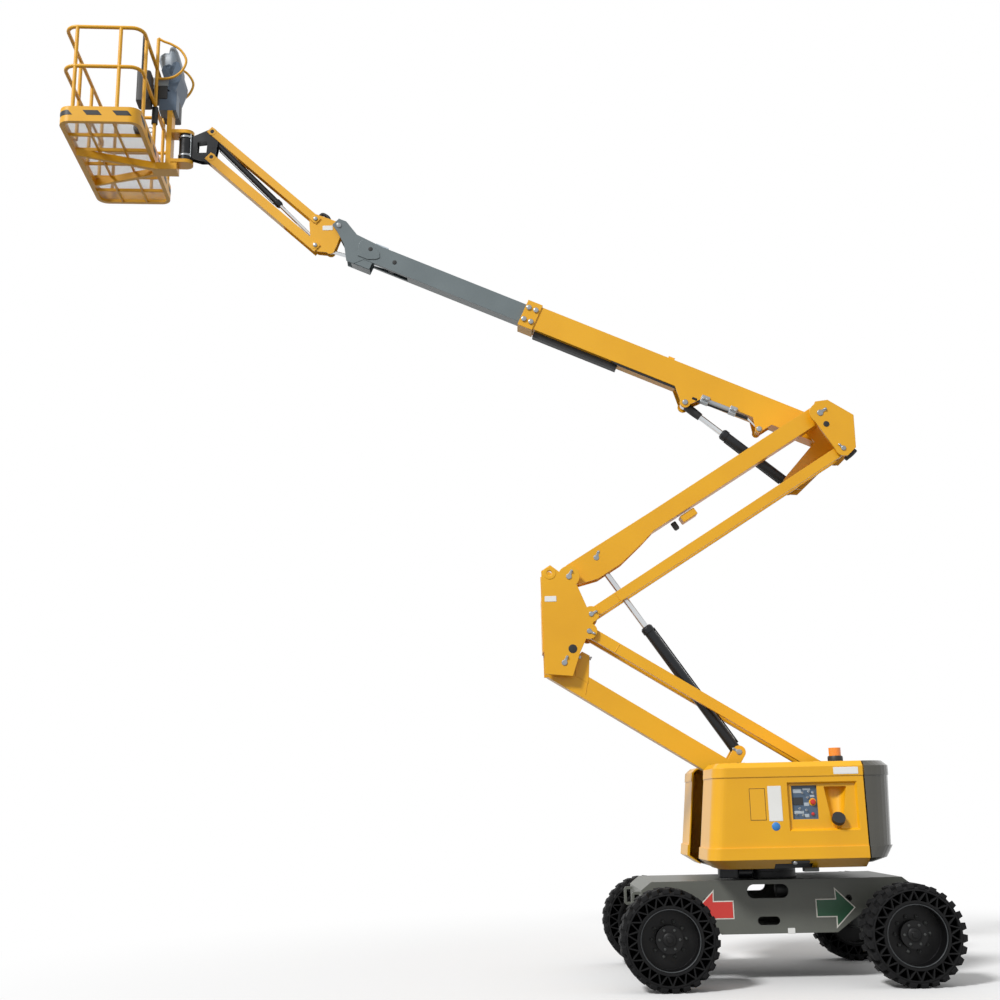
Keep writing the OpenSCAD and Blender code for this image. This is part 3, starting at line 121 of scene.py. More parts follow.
def finishMaterial(name, colour, shade, worn, rough, different=None):
    # slow tone drift, a fine grain, and softened edges that show the worn tone in broken patches
    look = {**commonLook, **(different or {})}
    material, tree = newMaterial(name)
    place = addNode(tree, "ShaderNodeTexCoord").outputs["Object"]
    drift = addNode(tree, "ShaderNodeTexNoise", {"Scale": look["driftPerMetre"], "Detail": 4.0}, {"Vector": place})
    tone = addNode(tree, "ShaderNodeValToRGB", links={"Fac": drift.outputs["Fac"]})
    rampStops(tone, [(0.3, linearColour(shade)), (0.62, linearColour(colour))])
    peel = addNode(tree, "ShaderNodeTexNoise", {"Scale": look["peelPerMetre"], "Detail": 2.0}, {"Vector": place})
    softened = addNode(tree, "ShaderNodeBevel", {"Radius": look["edge"]}, samples=4)
    flat = addNode(tree, "ShaderNodeNewGeometry").outputs["Normal"]
    turn = addNode(tree, "ShaderNodeVectorMath", links={0: softened.outputs["Normal"], 1: flat},
                   operation="DOT_PRODUCT")
    rim = addNode(tree, "ShaderNodeMapRange", {"From Min": 0.99, "From Max": 0.8, "To Max": look["wear"]},
                  {"Value": turn.outputs["Value"]})
    scuff = addNode(tree, "ShaderNodeTexNoise", {"Scale": look["scuffPerMetre"], "Detail": 5.0, "Roughness": 0.7},
                    {"Vector": place})
    broken = addNode(tree, "ShaderNodeMapRange", {"From Min": 0.42, "From Max": 0.66}, {"Value": scuff.outputs["Fac"]})
    patches = addNode(tree, "ShaderNodeMath", links={0: rim.outputs["Result"], 1: broken.outputs["Result"]},
                      operation="MULTIPLY")
    coloured = addNode(tree, "ShaderNodeMix", data_type="RGBA")
    tree.links.new(patches.outputs["Value"], coloured.inputs["Factor"])
    tree.links.new(tone.outputs["Color"], coloured.inputs[6])
    coloured.inputs[7].default_value = linearColour(worn)
    bump = addNode(tree, "ShaderNodeBump", {"Strength": look["peel"], "Distance": 0.001},
                   {"Height": peel.outputs["Fac"], "Normal": softened.outputs["Normal"]})
    sheen = addNode(tree, "ShaderNodeMapRange", {"To Min": rough - 0.05, "To Max": rough + 0.08},
                    {"Value": drift.outputs["Fac"]})
    surface = addNode(tree, "ShaderNodeBsdfPrincipled",
                      {"Metallic": look["metallic"], "IOR": look["ior"], "Coat Weight": look["coat"],
                       "Coat Roughness": look["coatRough"], "Specular IOR Level": look["specular"]},
                      {"Base Color": coloured.outputs[2], "Roughness": sheen.outputs["Result"],
                       "Normal": bump.outputs["Normal"]})
    addNode(tree, "ShaderNodeOutputMaterial", links={"Surface": surface.outputs["BSDF"]})
    return material


# each finish: colour, its darker drift, the tone of rubbed edges, roughness, then what differs from the common look
finishes = {
    # enamel sprayed on steel: even colour, faint orange peel, paler where edges rub
    "yellowEnamel": ("#EDAE12", "#E6A60D", "#F6CE73", 0.4, {"coat": 0.08}),
    # gel-coated glass fibre, moulded: the same yellow, smoother and glossier
    "yellowMoulding": ("#EEB010", "#E8A80C", "#F6CE73", 0.36, {"coat": 0.1}),
    # enamel: satin grey frame, glossy brown-black ballast, blue-grey fly boom, near-black fittings and rims
    "chassisEnamel": ("#64665F", "#595B55", "#7C7F80", 0.42),
    "ballastEnamel": ("#46443B", "#3B3A33", "#6A6A64", 0.24, {"coat": 0.5}),
    "flyEnamel": ("#6C777A", "#626D70", "#8D989A", 0.36, {"coat": 0.2}),
    "blackEnamel": ("#15191E", "#0F1216", "#3E4246", 0.38, {"specular": 0.35}),
    "rimEnamel": ("#0C0C0D", "#080809", "#2A2C2E", 0.42, {"specular": 0.25}),
    # sand-cast iron, unpainted: dull dark grey
    "castIron": ("#3B3D3C", "#303231", "#5E605F", 0.6),
    # injection-moulded ABS: slate blue and black with a soft sheen; the black also covers the hoods' inner walls as
    # painted shade
    "panelMoulding": ("#52667C", "#485B70", "#7688A0", 0.4),
    "blackMouldingAndGapShade": ("#1B1C1E", "#141517", "#3C3E40", 0.5),
    # hard chrome, ground and polished: bright, with long sharp streaks of light
    "chromedSteel": ("#D3D6D8", "#C6C9CC", "#E4E6E8", 0.14, {"metallic": 1.0}),
    # hot-dip galvanised steel: cloudy pale grey
    "galvanisedSteel": ("#A4A9AB", "#8F9496", "#C4C8CA", 0.42, {"metallic": 0.8}),
    # moulded tyre rubber: near black, hardly any shine
    "tyreRubber": ("#19191A", "#121213", "#2C2C2C", 0.8, {"specular": 0.2}),
    # moulded acrylic: deep amber under a clear gloss
    "amberLens": ("#EE8A14", "#DD7A0E", "#FFB454", 0.18, {"coat": 0.5}),
    # zinc-plated steel, turned and stamped: grey metal with broad highlights
    "zincSteel": ("#A2A6A9", "#8B8F92", "#C2C6C8", 0.34, {"metallic": 0.9}),
    # rolled rim edge: dark grey, paler than the rim, and pale at the crest, partly rubbed enamel and partly a painted
    # highlight
    "rimLip": ("#36393B", "#2C2F31", "#84888B", 0.4),
    # extruded rubber: black with a dull sheen; the same black is laid on holes as painted shade
    "blackRubberAndHoleShade": ("#1A1B1C", "#131415", "#303132", 0.6),
    # printed plates and vinyl film: flat, even, satin colour
    "whitePlate": ("#F1F1EE", "#EAEAE6", "#F8F8F6", 0.35),
    "amberPlate": ("#EFB224", "#E9AB1E", "#F3CB7C", 0.35),
    "paleFilm": ("#E6E3DA", "#DEDBD1", "#EFEDE6", 0.4),
    "redFilm": ("#D8413A", "#CE3A34", "#E56A62", 0.4),
    "greenFilm": ("#1F5136", "#1A4730", "#3C6E52", 0.4),
    "blueFilm": ("#3C86CF", "#357BC0", "#6FA8DD", 0.4),
    "blackFilm": ("#1B1B1B", "#151515", "#3A3A3A", 0.45),
    "brownFilm": ("#6B4A1E", "#5F411A", "#8A6636", 0.45),
    # injection-moulded ABS: glossy signal red, satin greys, a pale printed field
    "redMoulding": ("#CF2B20", "#C2251B", "#E2564B", 0.35, {"coat": 0.3}),
    "paleMoulding": ("#8995A0", "#7C8894", "#A9B3BC", 0.42),
    "greyMoulding": ("#8A949B", "#7F898F", "#A5AEB4", 0.45),
    "panelPrint": ("#B7C2CB", "#AAB6C0", "#CDD6DD", 0.42),
    # dark glass: black with a sharp reflection
    "displayGlass": ("#14181C", "#101316", "#2A2F34", 0.12, {"coat": 0.4}),
    # cast and machined aluminium: pale soft metal
    "valveAluminium": ("#A7ACB0", "#969B9F", "#C4C8CB", 0.38, {"metallic": 0.6}),
}
material = {name: finishMaterial(name, *row) for name, row in finishes.items()}

wheels = ("steer_left", "steer_right", "fixed_left", "fixed_right")
rams = ("arm", "boom", "level", "jib")
nodeFinish = {
    "yellowEnamel": [
        "lower_arm", "lower_links", "mid_knuckle", "upper_arm", "upper_links", "top_knuckle", "main_boom", "jib_base",
        "jib_arm", "jib_link", "basket_mount", "basket_floor", "guard_rail", "gate_bar"],
    "yellowMoulding": ["hood_left", "hood_right"],
    "chassisEnamel": ["chassis_frame"],
    "ballastEnamel": ["counterweight"],
    "flyEnamel": ["fly_boom"],
    "blackEnamel": [ram + "_barrel" for ram in rams] + ["jib_head", "slew_ring", "turntable_frame"],
    "rimEnamel": ["rim_" + wheel for wheel in wheels],
    "castIron": ["steer_axle", "fixed_axle", "steer_knuckle_left", "steer_knuckle_right", "engine_block"],
    "panelMoulding": ["control_panel", "console"],
    "blackMouldingAndGapShade": ["filler_cap", "hose_tray"],
    "chromedSteel": [ram + "_rod" for ram in rams],
    "galvanisedSteel": ["floor_mesh"],
    "tyreRubber": ["tyre_" + wheel for wheel in wheels],
    "amberLens": ["beacon"],
}
for finish, names in nodeFinish.items():
    for name in names:
        nodes[name].data.materials.clear()
        nodes[name].data.materials.append(material[finish])
print("materials on", sum(len(v) for v in nodeFinish.values()), "nodes")


# shells: each function gives the points and faces of one closed surface
def unit(v):
    return np.asarray(v, float) / np.linalg.norm(v)


def ringShell(rings, closed=False):
    # rings of points joined ring to ring by quads; an open run gets flat caps, a closed run meets itself
    rings = np.asarray(rings, float)
    index = np.arange(rings.shape[0] * rings.shape[1]).reshape(rings.shape[:2])
    here, after = (index, np.roll(index, -1, 0)) if closed else (index[:-1], index[1:])
    quads = np.stack([here, np.roll(here, -1, 1), np.roll(after, -1, 1), after], -1).reshape(-1, 4).tolist()
    caps = [] if closed else [index[0][::-1].tolist(), index[-1].tolist()]
    return rings.reshape(-1, 3), quads + caps


def turned(profile, centre, along, count=24, closed=False):
    # radius and height pairs swept round an axis: centre + radius * spoke + height * axis
    w = unit(along)
    u = unit(np.cross((0, 1, 0) if abs(w[1]) < 0.9 else (0, 0, 1), w))
    angle = np.linspace(0, 2 * np.pi, count, endpoint=False)
    spokes = np.outer(np.cos(angle), u) + np.outer(np.sin(angle), np.cross(w, u))
    radius, height = np.array(profile, float).T
    return ringShell(np.asarray(centre) + radius[:, None, None] * spokes + height[:, None, None] * w, closed)


def flatRing(outer, inner, half):
    # the square section of a ring, for turned
    return [(outer, -half), (outer, half), (inner, half), (inner, -half)]


def roundRing(middle, thick):
    # the circular section of a ring, for turned
    return [(middle + thick * math.cos(a), thick * math.sin(a)) for a in np.linspace(0, 2 * np.pi, 8, endpoint=False)]


def facing(outline):
    # the outline run counter-clockwise, with the outward mitre of each corner
    x, y = np.asarray(outline, float).T
    turn = np.sum(x * np.roll(y, -1) - np.roll(x, -1) * y)
    points = np.stack([x, y], 1)[:: 1 if turn > 0 else -1]
    edge = np.roll(points, -1, 0) - points
    normal = np.stack([edge[:, 1], -edge[:, 0]], 1) / np.linalg.norm(edge, axis=1)[:, None]
    before = np.roll(normal, 1, 0)
    return points, (normal + before) / (1 + np.sum(normal * before, 1))[:, None]


def plate(outline, depth, origin, u=(1, 0, 0), v=(0, 0, 1), chamfer=0.0015, grow=0.0):
    # a flat outline in the plane of u and v, raised along u x v, with both rims chamfered
    u, v = unit(u), unit(v)
    points, mitre = facing(outline)
    points = points + mitre * grow
    chamfer = min(chamfer, depth / 3)
    inset = points - mitre * chamfer
    levels = [(inset, 0), (points, chamfer), (points, depth - chamfer), (inset, depth)]
    return ringShell([np.asarray(origin) + np.outer(p[:, 0], u) + np.outer(p[:, 1], v) + h * np.cross(u, v)
                      for p, h in levels])


def rounded(width, height, radius, steps=4):
    # a rectangle about the origin with quarter-circle corners
    turns = np.arange(4)[:, None] * np.pi / 2 + np.linspace(0, np.pi / 2, steps)
    corner = np.array([(1, 1), (-1, 1), (-1, -1), (1, -1)]) * (width / 2 - radius, height / 2 - radius)
    return (corner[:, None] + radius * np.stack([np.cos(turns), np.sin(turns)], -1)).reshape(-1, 2)


def box(low, high, radius=0.01, chamfer=0.004):
    # a box between two corners, upright edges rounded and rims chamfered
    low, high = np.asarray(low, float), np.asarray(high, float)
    size, middle = high - low, (low + high) / 2
    return plate(rounded(size[0], size[1], radius), size[2], (*middle[:2], low[2]), (1, 0, 0), (0, 1, 0), chamfer)


def smoothed(points, perSpan=6):
    # a Catmull-Rom curve through the points
    p = np.asarray(points, float)
    p = np.vstack([2 * p[0] - p[1], p, 2 * p[-1] - p[-2]])
    t = np.linspace(0, 1, perSpan, endpoint=False)[None, :, None]
    a, b, c, d = (p[k : len(p) - 3 + k, None] for k in range(4))
    curve = 0.5 * (2 * b + (c - a) * t + (2 * a - 5 * b + 4 * c - d) * t**2 + (3 * b - a - 3 * c + d) * t**3)
    return np.vstack([curve.reshape(-1, 3), p[-2]])


def tube(path, radius, side=(0, 1, 0), count=10, closed=False):
    # a circle carried along a path, squared to a fixed side direction
    path = np.asarray(path, float)
    tangent = np.roll(path, -1, 0) - np.roll(path, 1, 0) if closed else np.gradient(path, axis=0)
    tangent = tangent / np.linalg.norm(tangent, axis=1)[:, None]
    u = np.cross(side, tangent)
    u = u / np.linalg.norm(u, axis=1)[:, None]
    v = np.cross(tangent, u)
    angle = np.linspace(0, 2 * np.pi, count, endpoint=False)[None, :, None]
    return ringShell(path[:, None] + radius * (np.cos(angle) * u[:, None] + np.sin(angle) * v[:, None]), closed)


def moved(shell, place):
    # a shell's points carried by a function of an array of points
    return place(shell[0]), shell[1]


def outward(shell):
    # six times the volume from fans of triangles; where it is negative the shell is inside out
    points, faces = shell
    volume = sum(p[0] @ np.cross(p[1:-1] - p[0], p[2:] - p[0]).sum(0) for p in (points[face] for face in faces))
    return shell if volume > 0 else (points, [face[::-1] for face in faces])


def addPiece(name, body, finish, shells, sharp=35.0):
    # shells joined into one mesh, smooth but for edges sharper than the angle, riding on a body
    shells = [outward(shell) for shell in shells]
    first = np.cumsum([0] + [len(points) for points, faces in shells])
    faces = [(np.array(face) + start).tolist() for (points, own), start in zip(shells, first) for face in own]
    mesh = bpy.data.meshes.new(name)
    mesh.from_pydata(np.vstack([points for points, own in shells]).tolist(), [], faces)
    mesh.shade_smooth()
    mesh.set_sharp_from_angle(angle=math.radians(sharp))
    mesh.materials.append(material[finish])
    piece = bpy.data.objects.new(name, mesh)
    bpy.context.scene.collection.objects.link(piece)
    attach(piece, body)
    return piece


def nodePoints(name):
    # a node's vertices as one array
    flat = np.empty(len(nodes[name].data.vertices) * 3)
    nodes[name].data.vertices.foreach_get("co", flat)
    return flat.reshape(-1, 3)


joints = {j["name"]: j for j in frame["joints"]}
pivot = {name: np.array(j["pos_m"]) for name, j in joints.items() if j.get("pos_m") is not None}
nearSide, farSide = np.array((0.0, -1, 0)), np.array((0.0, 1, 0))


def atDepth(point, y):
    return np.array((point[0], y, point[2]))


def facePair(profile, point, near, far, count, closed=False):
    # the same turned part on a near and a far face
    return [turned(profile, atDepth(point, y), out, count, closed) for y, out in ((near, nearSide), (far, farSide))]


# the main boom's own directions: along it towards the tip, and square to it upwards
boomTilt = math.radians(24.5)
boomAlong = np.array((-math.cos(boomTilt), 0, math.sin(boomTilt)))
boomUp = np.array((math.sin(boomTilt), 0, math.cos(boomTilt)))


def onBoom(along, up, y=0.0):
    return atDepth(pivot["boom_lift"] + along * boomAlong + up * boomUp, y)


# the basket's own frame, turned about its rotator
basketTurn = math.radians(4.4)
basketX = np.array((math.cos(basketTurn), math.sin(basketTurn), 0))
basketY = np.array((-math.sin(basketTurn), math.cos(basketTurn), 0))


def inBasket(points):
    points = np.asarray(points, float)
    return (pivot["basket_turn"] + points[..., :1] * basketX + points[..., 1:2] * basketY
            + points[..., 2:] * np.array((0, 0, 1)))


# expanded steel floor: two crossing families of strands, cut to the floor's rounded plan
floorWeave = {"x": (-1.144, -0.316), "halfY": 0.909, "corner": 0.114, "z": -0.039, "pitch": 0.016,
              "lean": 60.0, "strand": 0.0024, "depth": 0.003, "reach": 1.3, "samples": 1301}


def strandBars(w, lean):
    # parallel lines at one pitch; each keeps the stretch inside the rounded plan and gets a flat bar, six faces
    half = np.array(((w["x"][1] - w["x"][0]) / 2, w["halfY"]))
    run = np.array((math.cos(lean), math.sin(lean)))
    across = np.array((-run[1], run[0]))
    offset = np.arange(-w["reach"], w["reach"], w["pitch"])
    step = np.linspace(-w["reach"], w["reach"], w["samples"])
    grid = offset[:, None, None] * across + step[None, :, None] * run
    out = np.maximum(np.abs(grid) - half + w["corner"], 0)
    inside = np.hypot(out[..., 0], out[..., 1]) <= w["corner"]
    keep = inside.sum(1) > 3
    reaches = step[np.argmax(inside, 1)][keep], step[len(step) - 1 - np.argmax(inside[:, ::-1], 1)][keep]
    line = offset[keep][:, None] * across + (sum(w["x"]) / 2, 0)
    side = np.append(across, 0) * w["strand"] / 2
    rise = np.array((0, 0, w["depth"] / 2))
    corner = np.array([-side - rise, side - rise, side + rise, -side + rise])
    ends = [np.column_stack([line + r[:, None] * run, np.full(len(r), w["z"])]) for r in reaches]
    points = np.stack([p[:, None] + corner for p in ends], 1).reshape(-1, 3)
    faces = np.array([(0, 1, 5, 4), (1, 2, 6, 5), (2, 3, 7, 6), (3, 0, 4, 7), (3, 2, 1, 0), (4, 5, 6, 7)])
    if np.cross(side, rise) @ np.append(run, 0) < 0:
        faces = faces[:, ::-1]
    return inBasket(points), (np.arange(len(line))[:, None, None] * 8 + faces).reshape(-1, 4).tolist()


weave = addPiece("expandedFloor", "basket", "galvanisedSteel",
                 [strandBars(floorWeave, math.radians(s * floorWeave["lean"])) for s in (1, -1)], 20.0)
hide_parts("floor_mesh")
print("expanded floor:", len(weave.data.polygons), "faces")

# airless tyres: belt and inner band, zigzag struts round a middle web, two staggered rows of slanted lugs
tyre = {"lugs": 26, "struts": 44, "tip": 0.425, "belt": 0.391, "cells": (0.285, 0.366), "half": 0.15, "strut": 0.012,
        "strutHalf": 0.148, "web": 0.01, "lugRoot": 0.33, "lugTip": 0.25, "lugFoot": 0.386, "slant": 0.55}


def polar(r, a):
    # radius and angle to x and y
    return np.stack([r * np.cos(a), r * np.sin(a)], -1)


def tyreShells(t, inner):
    # all about the origin with the axle along z: rings turned, struts and lugs as rows of four corners
    low, high = t["cells"]
    shoulder = [(0.374, t["half"]), (0.387, 0.142), (t["belt"], 0.12)]
    belt = [(r, -h) for r, h in shoulder] + shoulder[::-1] + [(high, t["half"]), (high, -t["half"])]
    sections = (belt, flatRing(low, inner, t["half"]), flatRing(high + 0.002, low - 0.002, t["web"] / 2))
    shells = [turned(section, (0, 0, 0), (0, 0, 1), 88, closed=True) for section in sections]
    step = 2 * np.pi / t["struts"]
    ends = (low - 0.004, high + 0.004)
    for k in range(t["struts"]):
        start, end = polar(ends[k % 2], k * step), polar(ends[1 - k % 2], (k + 1) * step)
        run = unit(end - start)
        side = np.array((-run[1], run[0])) * t["strut"] / 2
        shells.append(plate([start - side, end - side, end + side, start + side], 2 * t["strutHalf"],
                            (0, 0, -t["strutHalf"]), (1, 0, 0), (0, 1, 0), 0.003))
    step = 2 * np.pi / t["lugs"]
    # depth and crown radius of a lug from the outer edge past the middle
    stations = np.array([(0.15, 0.408), (0.14, t["tip"]), (0.07, t["tip"]), (-0.006, t["tip"]), (-0.014, 0.414)])
    foot = np.full(len(stations), t["lugFoot"])
    crown = stations[:, 1]
    corners = [(foot, -t["lugRoot"]), (foot, t["lugRoot"]), (crown, t["lugTip"]), (crown, -t["lugTip"])]
    for k in range(t["lugs"]):
        for way in (1, -1):
            turn = (k + 0.25 * way) * step + t["slant"] * (stations[:, 0] - t["half"])
            rings = [polar(r, turn + w * step) for r, w in corners]
            depth = np.broadcast_to(way * stations[:, 0], (4, len(turn)))
            shells.append(ringShell(np.concatenate([np.stack(rings), depth[..., None]], -1).swapaxes(0, 1)))
    return shells


for name in wheels:
    centre = pivot["spin_" + name]
    offset = nodePoints("tyre_" + name) - centre
    shells = tyreShells(tyre, np.hypot(offset[:, 0], offset[:, 2]).min())
    rubber = addPiece("airlessTyre_" + name, "wheel_" + name, "tyreRubber",
                      [moved(shell, lambda p: centre + p[:, (0, 2, 1)]) for shell in shells])
    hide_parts("tyre_" + name)
print("airless tyres:", len(rubber.data.polygons), "faces each")

# wheels: nuts on the disc, bolts and a cap on the hub, a rolled lip at the rim whose pale crest is partly a painted
# highlight
wheelTrim = {"nuts": 10, "nutCircle": 0.15, "disc": 0.981, "hubBolts": 6, "boltCircle": 0.088, "hub": 1.055,
             "lip": (0.2555, 0.006), "lipFace": 1.139}
hexNut = [(0.017, -0.002), (0.017, 0.012), (0.014, 0.015), (0.009, 0.015), (0.009, 0.024), (0.006, 0.026)]
hexBolt = [(0.0125, -0.002), (0.0125, 0.007), (0.01, 0.01)]
hubCap = [(0.06, -0.002), (0.06, 0.01), (0.052, 0.016), (0.03, 0.019), (0.028, 0.027), (0.02, 0.03)]


def boltCircle(profile, centre, out, radius, count, sides=6):
    # the same small turned part repeated round a circle square to out
    angle = np.arange(count) * 2 * np.pi / count
    return [turned(profile, centre + radius * np.array((math.cos(a), 0, math.sin(a))), out, sides) for a in angle]


for name in wheels:
    body, centre = "wheel_" + name, pivot["spin_" + name]
    out = farSide if centre[1] > 0 else nearSide
    disc, hub = (atDepth(centre, out[1] * wheelTrim[k]) for k in ("disc", "hub"))
    addPiece(body + "Nuts", body, "castIron",
             boltCircle(hexNut, disc, out, wheelTrim["nutCircle"], wheelTrim["nuts"])
             + boltCircle(hexBolt, hub, out, wheelTrim["boltCircle"], wheelTrim["hubBolts"]))
    addPiece(body + "Cap", body, "rimEnamel", [turned(hubCap, hub, out)])
    # the lip's pale crest is a painted highlight as well as rubbed enamel
    lipCentre = atDepth(centre, out[1] * wheelTrim["lipFace"])
    addPiece(body + "Lip", body, "rimLip", [turned(roundRing(*wheelTrim["lip"]), lipCentre, out, 64, closed=True)])
print("wheel trim on four wheels")

# pins: a low pin end, a keeper bar beside it and one bolt through the bar
keeper = {"pin": 0.031, "rise": 0.01, "bar": (0.082, 0.028), "barDepth": 0.007, "barAway": 0.042, "bolt": 0.024,
          "boltHead": 0.013, "flat": 0.0025}
# y and outward direction of the plates that carry pins
plateFace = {"near": (-0.312, nearSide), "far": (0.047, farSide), "outer": (0.305, farSide),
             "armNear": (-0.215, nearSide), "armFar": (-0.045, farSide)}


def pinKeeper(point, face, lean, scale=1.0, rise=keeper["rise"]):
    # pin end, bar and bolt on a plate's face; the bar leaves the pin at the lean angle
    y, out = plateFace[face]
    centre = atDepth(point, y)
    u = np.array((math.cos(lean), 0, math.sin(lean)))
    r, b = keeper["pin"] * scale, keeper["boltHead"] * scale
    pin = turned([(r, -0.001), (r, 0.6 * rise), (0.82 * r, rise)], centre, out, 24)
    bar = plate(rounded(*(np.array(keeper["bar"]) * scale), 0.012 * scale), keeper["barDepth"] * rise / keeper["rise"],
                centre + u * keeper["barAway"] * scale, u, np.cross(out, u))
    bolt = turned([(b, 0), (b, 1.7 * rise), (0.01 * scale, 2.0 * rise)],
                  centre + u * (keeper["barAway"] + keeper["bolt"]) * scale, out, 6)
    return [pin, bar, bolt]


linkStep = pivot["lower_link_follow"] - pivot["arm_lift"]
upperStep = pivot["upper_link_follow"] - pivot["upper_arm_follow"]
midPins = [pivot["knuckle_level"], pivot["knuckle_level"] + linkStep, pivot["upper_arm_follow"],
           pivot["upper_link_follow"]]
topPins = [pivot["top_level"], pivot["top_level"] + upperStep]
armPin = np.array((-1.4871, 0, 3.9406))
midKeepers = list(zip(midPins, (1.1, -0.5, 1.1, 0.45), (0.9, 0.8, 0.9, 0.8)))
addPiece("midPinKeepers", "mid_knuckle", "zincSteel",
         sum([pinKeeper(p, "near", lean, s) for p, lean, s in midKeepers]
             + [pinKeeper(p, "far", lean, s, keeper["flat"]) for p, lean, s in midKeepers], []))
# a round eye on the knuckle's upper corner, both sides, and the lower arm's cheeks where they enter the knuckle
eyeCentre = pivot["knuckle_level"] + 0.84 * np.array((-0.14, 0, 1.044))
eyeRing = [(0.026, -0.012), (0.064, -0.012), (0.064, 0.001), (0.06, 0.004), (0.03, 0.004), (0.026, 0.001)]
addPiece("kneeEyes", "mid_knuckle", "yellowEnamel",
         facePair(eyeRing, eyeCentre, plateFace["near"][0], plateFace["far"][0], 32, True))
armCheek = {"outline": [(-1.608, 2.7), (-1.59, 2.974), (-1.663, 3.015), (-1.742, 2.928), (-1.732, 2.78)],
            "from": (-0.202, -0.047), "depth": 0.016, "bolt": (-1.686, 0, 2.96), "boltFaces": (-0.215, -0.047),
            "stub": (-1.592, 0, 2.955), "stubs": (-0.207, -0.055)}
addPiece("lowerArmCheeks", "lower_arm", "yellowEnamel",
         [plate(armCheek["outline"], armCheek["depth"], (0, y, 0), chamfer=0.003) for y in armCheek["from"]])
addPiece("cheekBolts", "lower_arm", "zincSteel",
         facePair([(0.018, -0.002), (0.018, 0.01), (0.014, 0.013)], armCheek["bolt"], *armCheek["boltFaces"], 6)
         + [turned([(0.009, -0.01), (0.009, 0.022), (0.007, 0.025)], atDepth(armCheek["stub"], y), (1, 0, 0), 12)
            for y in armCheek["stubs"]])
addPiece("topPinKeepers", "top_knuckle", "zincSteel",
         pinKeeper(topPins[0], "near", 0.6) + pinKeeper(topPins[1], "near", 2.4, 0.8)
         + pinKeeper(pivot["boom_lift"], "outer", 2.0) + pinKeeper(pivot["boom_barrel_tilt"], "outer", 1.0, 0.85))
addPiece("lowPinKeepers", "turntable", "zincSteel",
         pinKeeper(pivot["arm_lift"], "near", 0.2) + pinKeeper(pivot["lower_link_follow"], "near", 2.4, 0.8))
for arm, pin, lean in (("upper", armPin, 1.2), ("lower", pivot["arm_barrel_tilt"], 2.6)):
    addPiece(arm + "ArmPinKeepers", arm + "_arm", "zincSteel",
             pinKeeper(pin, "armNear", lean, 0.9, 0.004) + pinKeeper(pin, "armFar", lean, 0.9, keeper["flat"]))

domeBolt = [(0.028, -0.001), (0.028, 0.004), (0.024, 0.011), (0.014, 0.017), (0.005, 0.018)]
pinDome = [(0.03, -0.001), (0.03, 0.006), (0.024, 0.012), (0.012, 0.014)]
collar = {"along": (3.43, 3.35), "up": (0.07, -0.07), "near": 0.061, "far": 0.299}
lugs = {"places": ((1.521, -0.257), (0.71, -0.228)), "near": 0.085, "far": 0.275}
lowDome = [(r, h / 3) for r, h in domeBolt]  # the folded boom passes close to the middle knuckle here
boomBolts = [turned(dome, onBoom(a, u, collar[side]), out, 16) for a in collar["along"] for u in collar["up"]
             for side, out, dome in (("near", nearSide, lowDome), ("far", farSide, domeBolt))]
for lug in lugs["places"]:
    boomBolts += facePair(pinDome, onBoom(*lug), lugs["near"], lugs["far"], 20)
addPiece("boomBolts", "main_boom", "zincSteel", boomBolts)
flySides, jibSides = (0.105, 0.255), (0.117, 0.243)
addPiece("tipPinEnds", "fly_boom", "zincSteel", facePair(pinDome, pivot["jib_level"], *flySides, 20))
jibPin = [(0.022, -0.002), (0.022, 0.005), (0.016, 0.009)]
addPiece("jibPinEnds", "jib_base", "zincSteel",
         sum([facePair(jibPin, pivot[k], *jibSides, 16) for k in ("jib_lift", "jib_link_follow")], []))
print("pins, keepers and bolts on the arms")

# direction arrows on both chassis sides: coloured film on a pale border
arrow = {"film": 0.0012, "border": 0.01, "z": 0.62, "red": (-0.398, -1), "green": (0.338, 1), "side": 0.55}
arrowShare = np.array([(0, -0.08), (0.178, -0.08), (0.174, -0.178), (0.358, 0), (0.174, 0.178), (0.178, 0.08),
                       (0, 0.08)])


def arrowFilm(tail, way, grow, depth):
    # the outline mirrored to point its way, laid on the near and the far side alike
    shape = arrowShare * (way, 1) + (tail, 0)
    return [plate(shape * (-s, 1), depth, (0, s * arrow["side"], arrow["z"]), (-s, 0, 0), (0, 0, 1), 0.0002, grow)
            for s in (-1, 1)]


addPiece("arrowBorders", "chassis", "paleFilm",
         sum([arrowFilm(*arrow[k], 0.0, arrow["film"]) for k in ("red", "green")], []))
for colour in ("red", "green"):
    addPiece(colour + "Arrows", "chassis", colour + "Film",
             arrowFilm(*arrow[colour], -arrow["border"], 1.6 * arrow["film"]))

# slanted dashes round the toe board, bent to follow its corners
dash = {"x": (-1.15, -0.31), "halfY": 0.915, "corner": 0.12, "z": (-0.003, 0.052), "length": 0.155, "slant": -0.045,
        "count": 17, "first": 0.065, "proud": 0.0016, "sunk": 0.001, "rows": 6, "columns": 14, "ahead": 0.004}


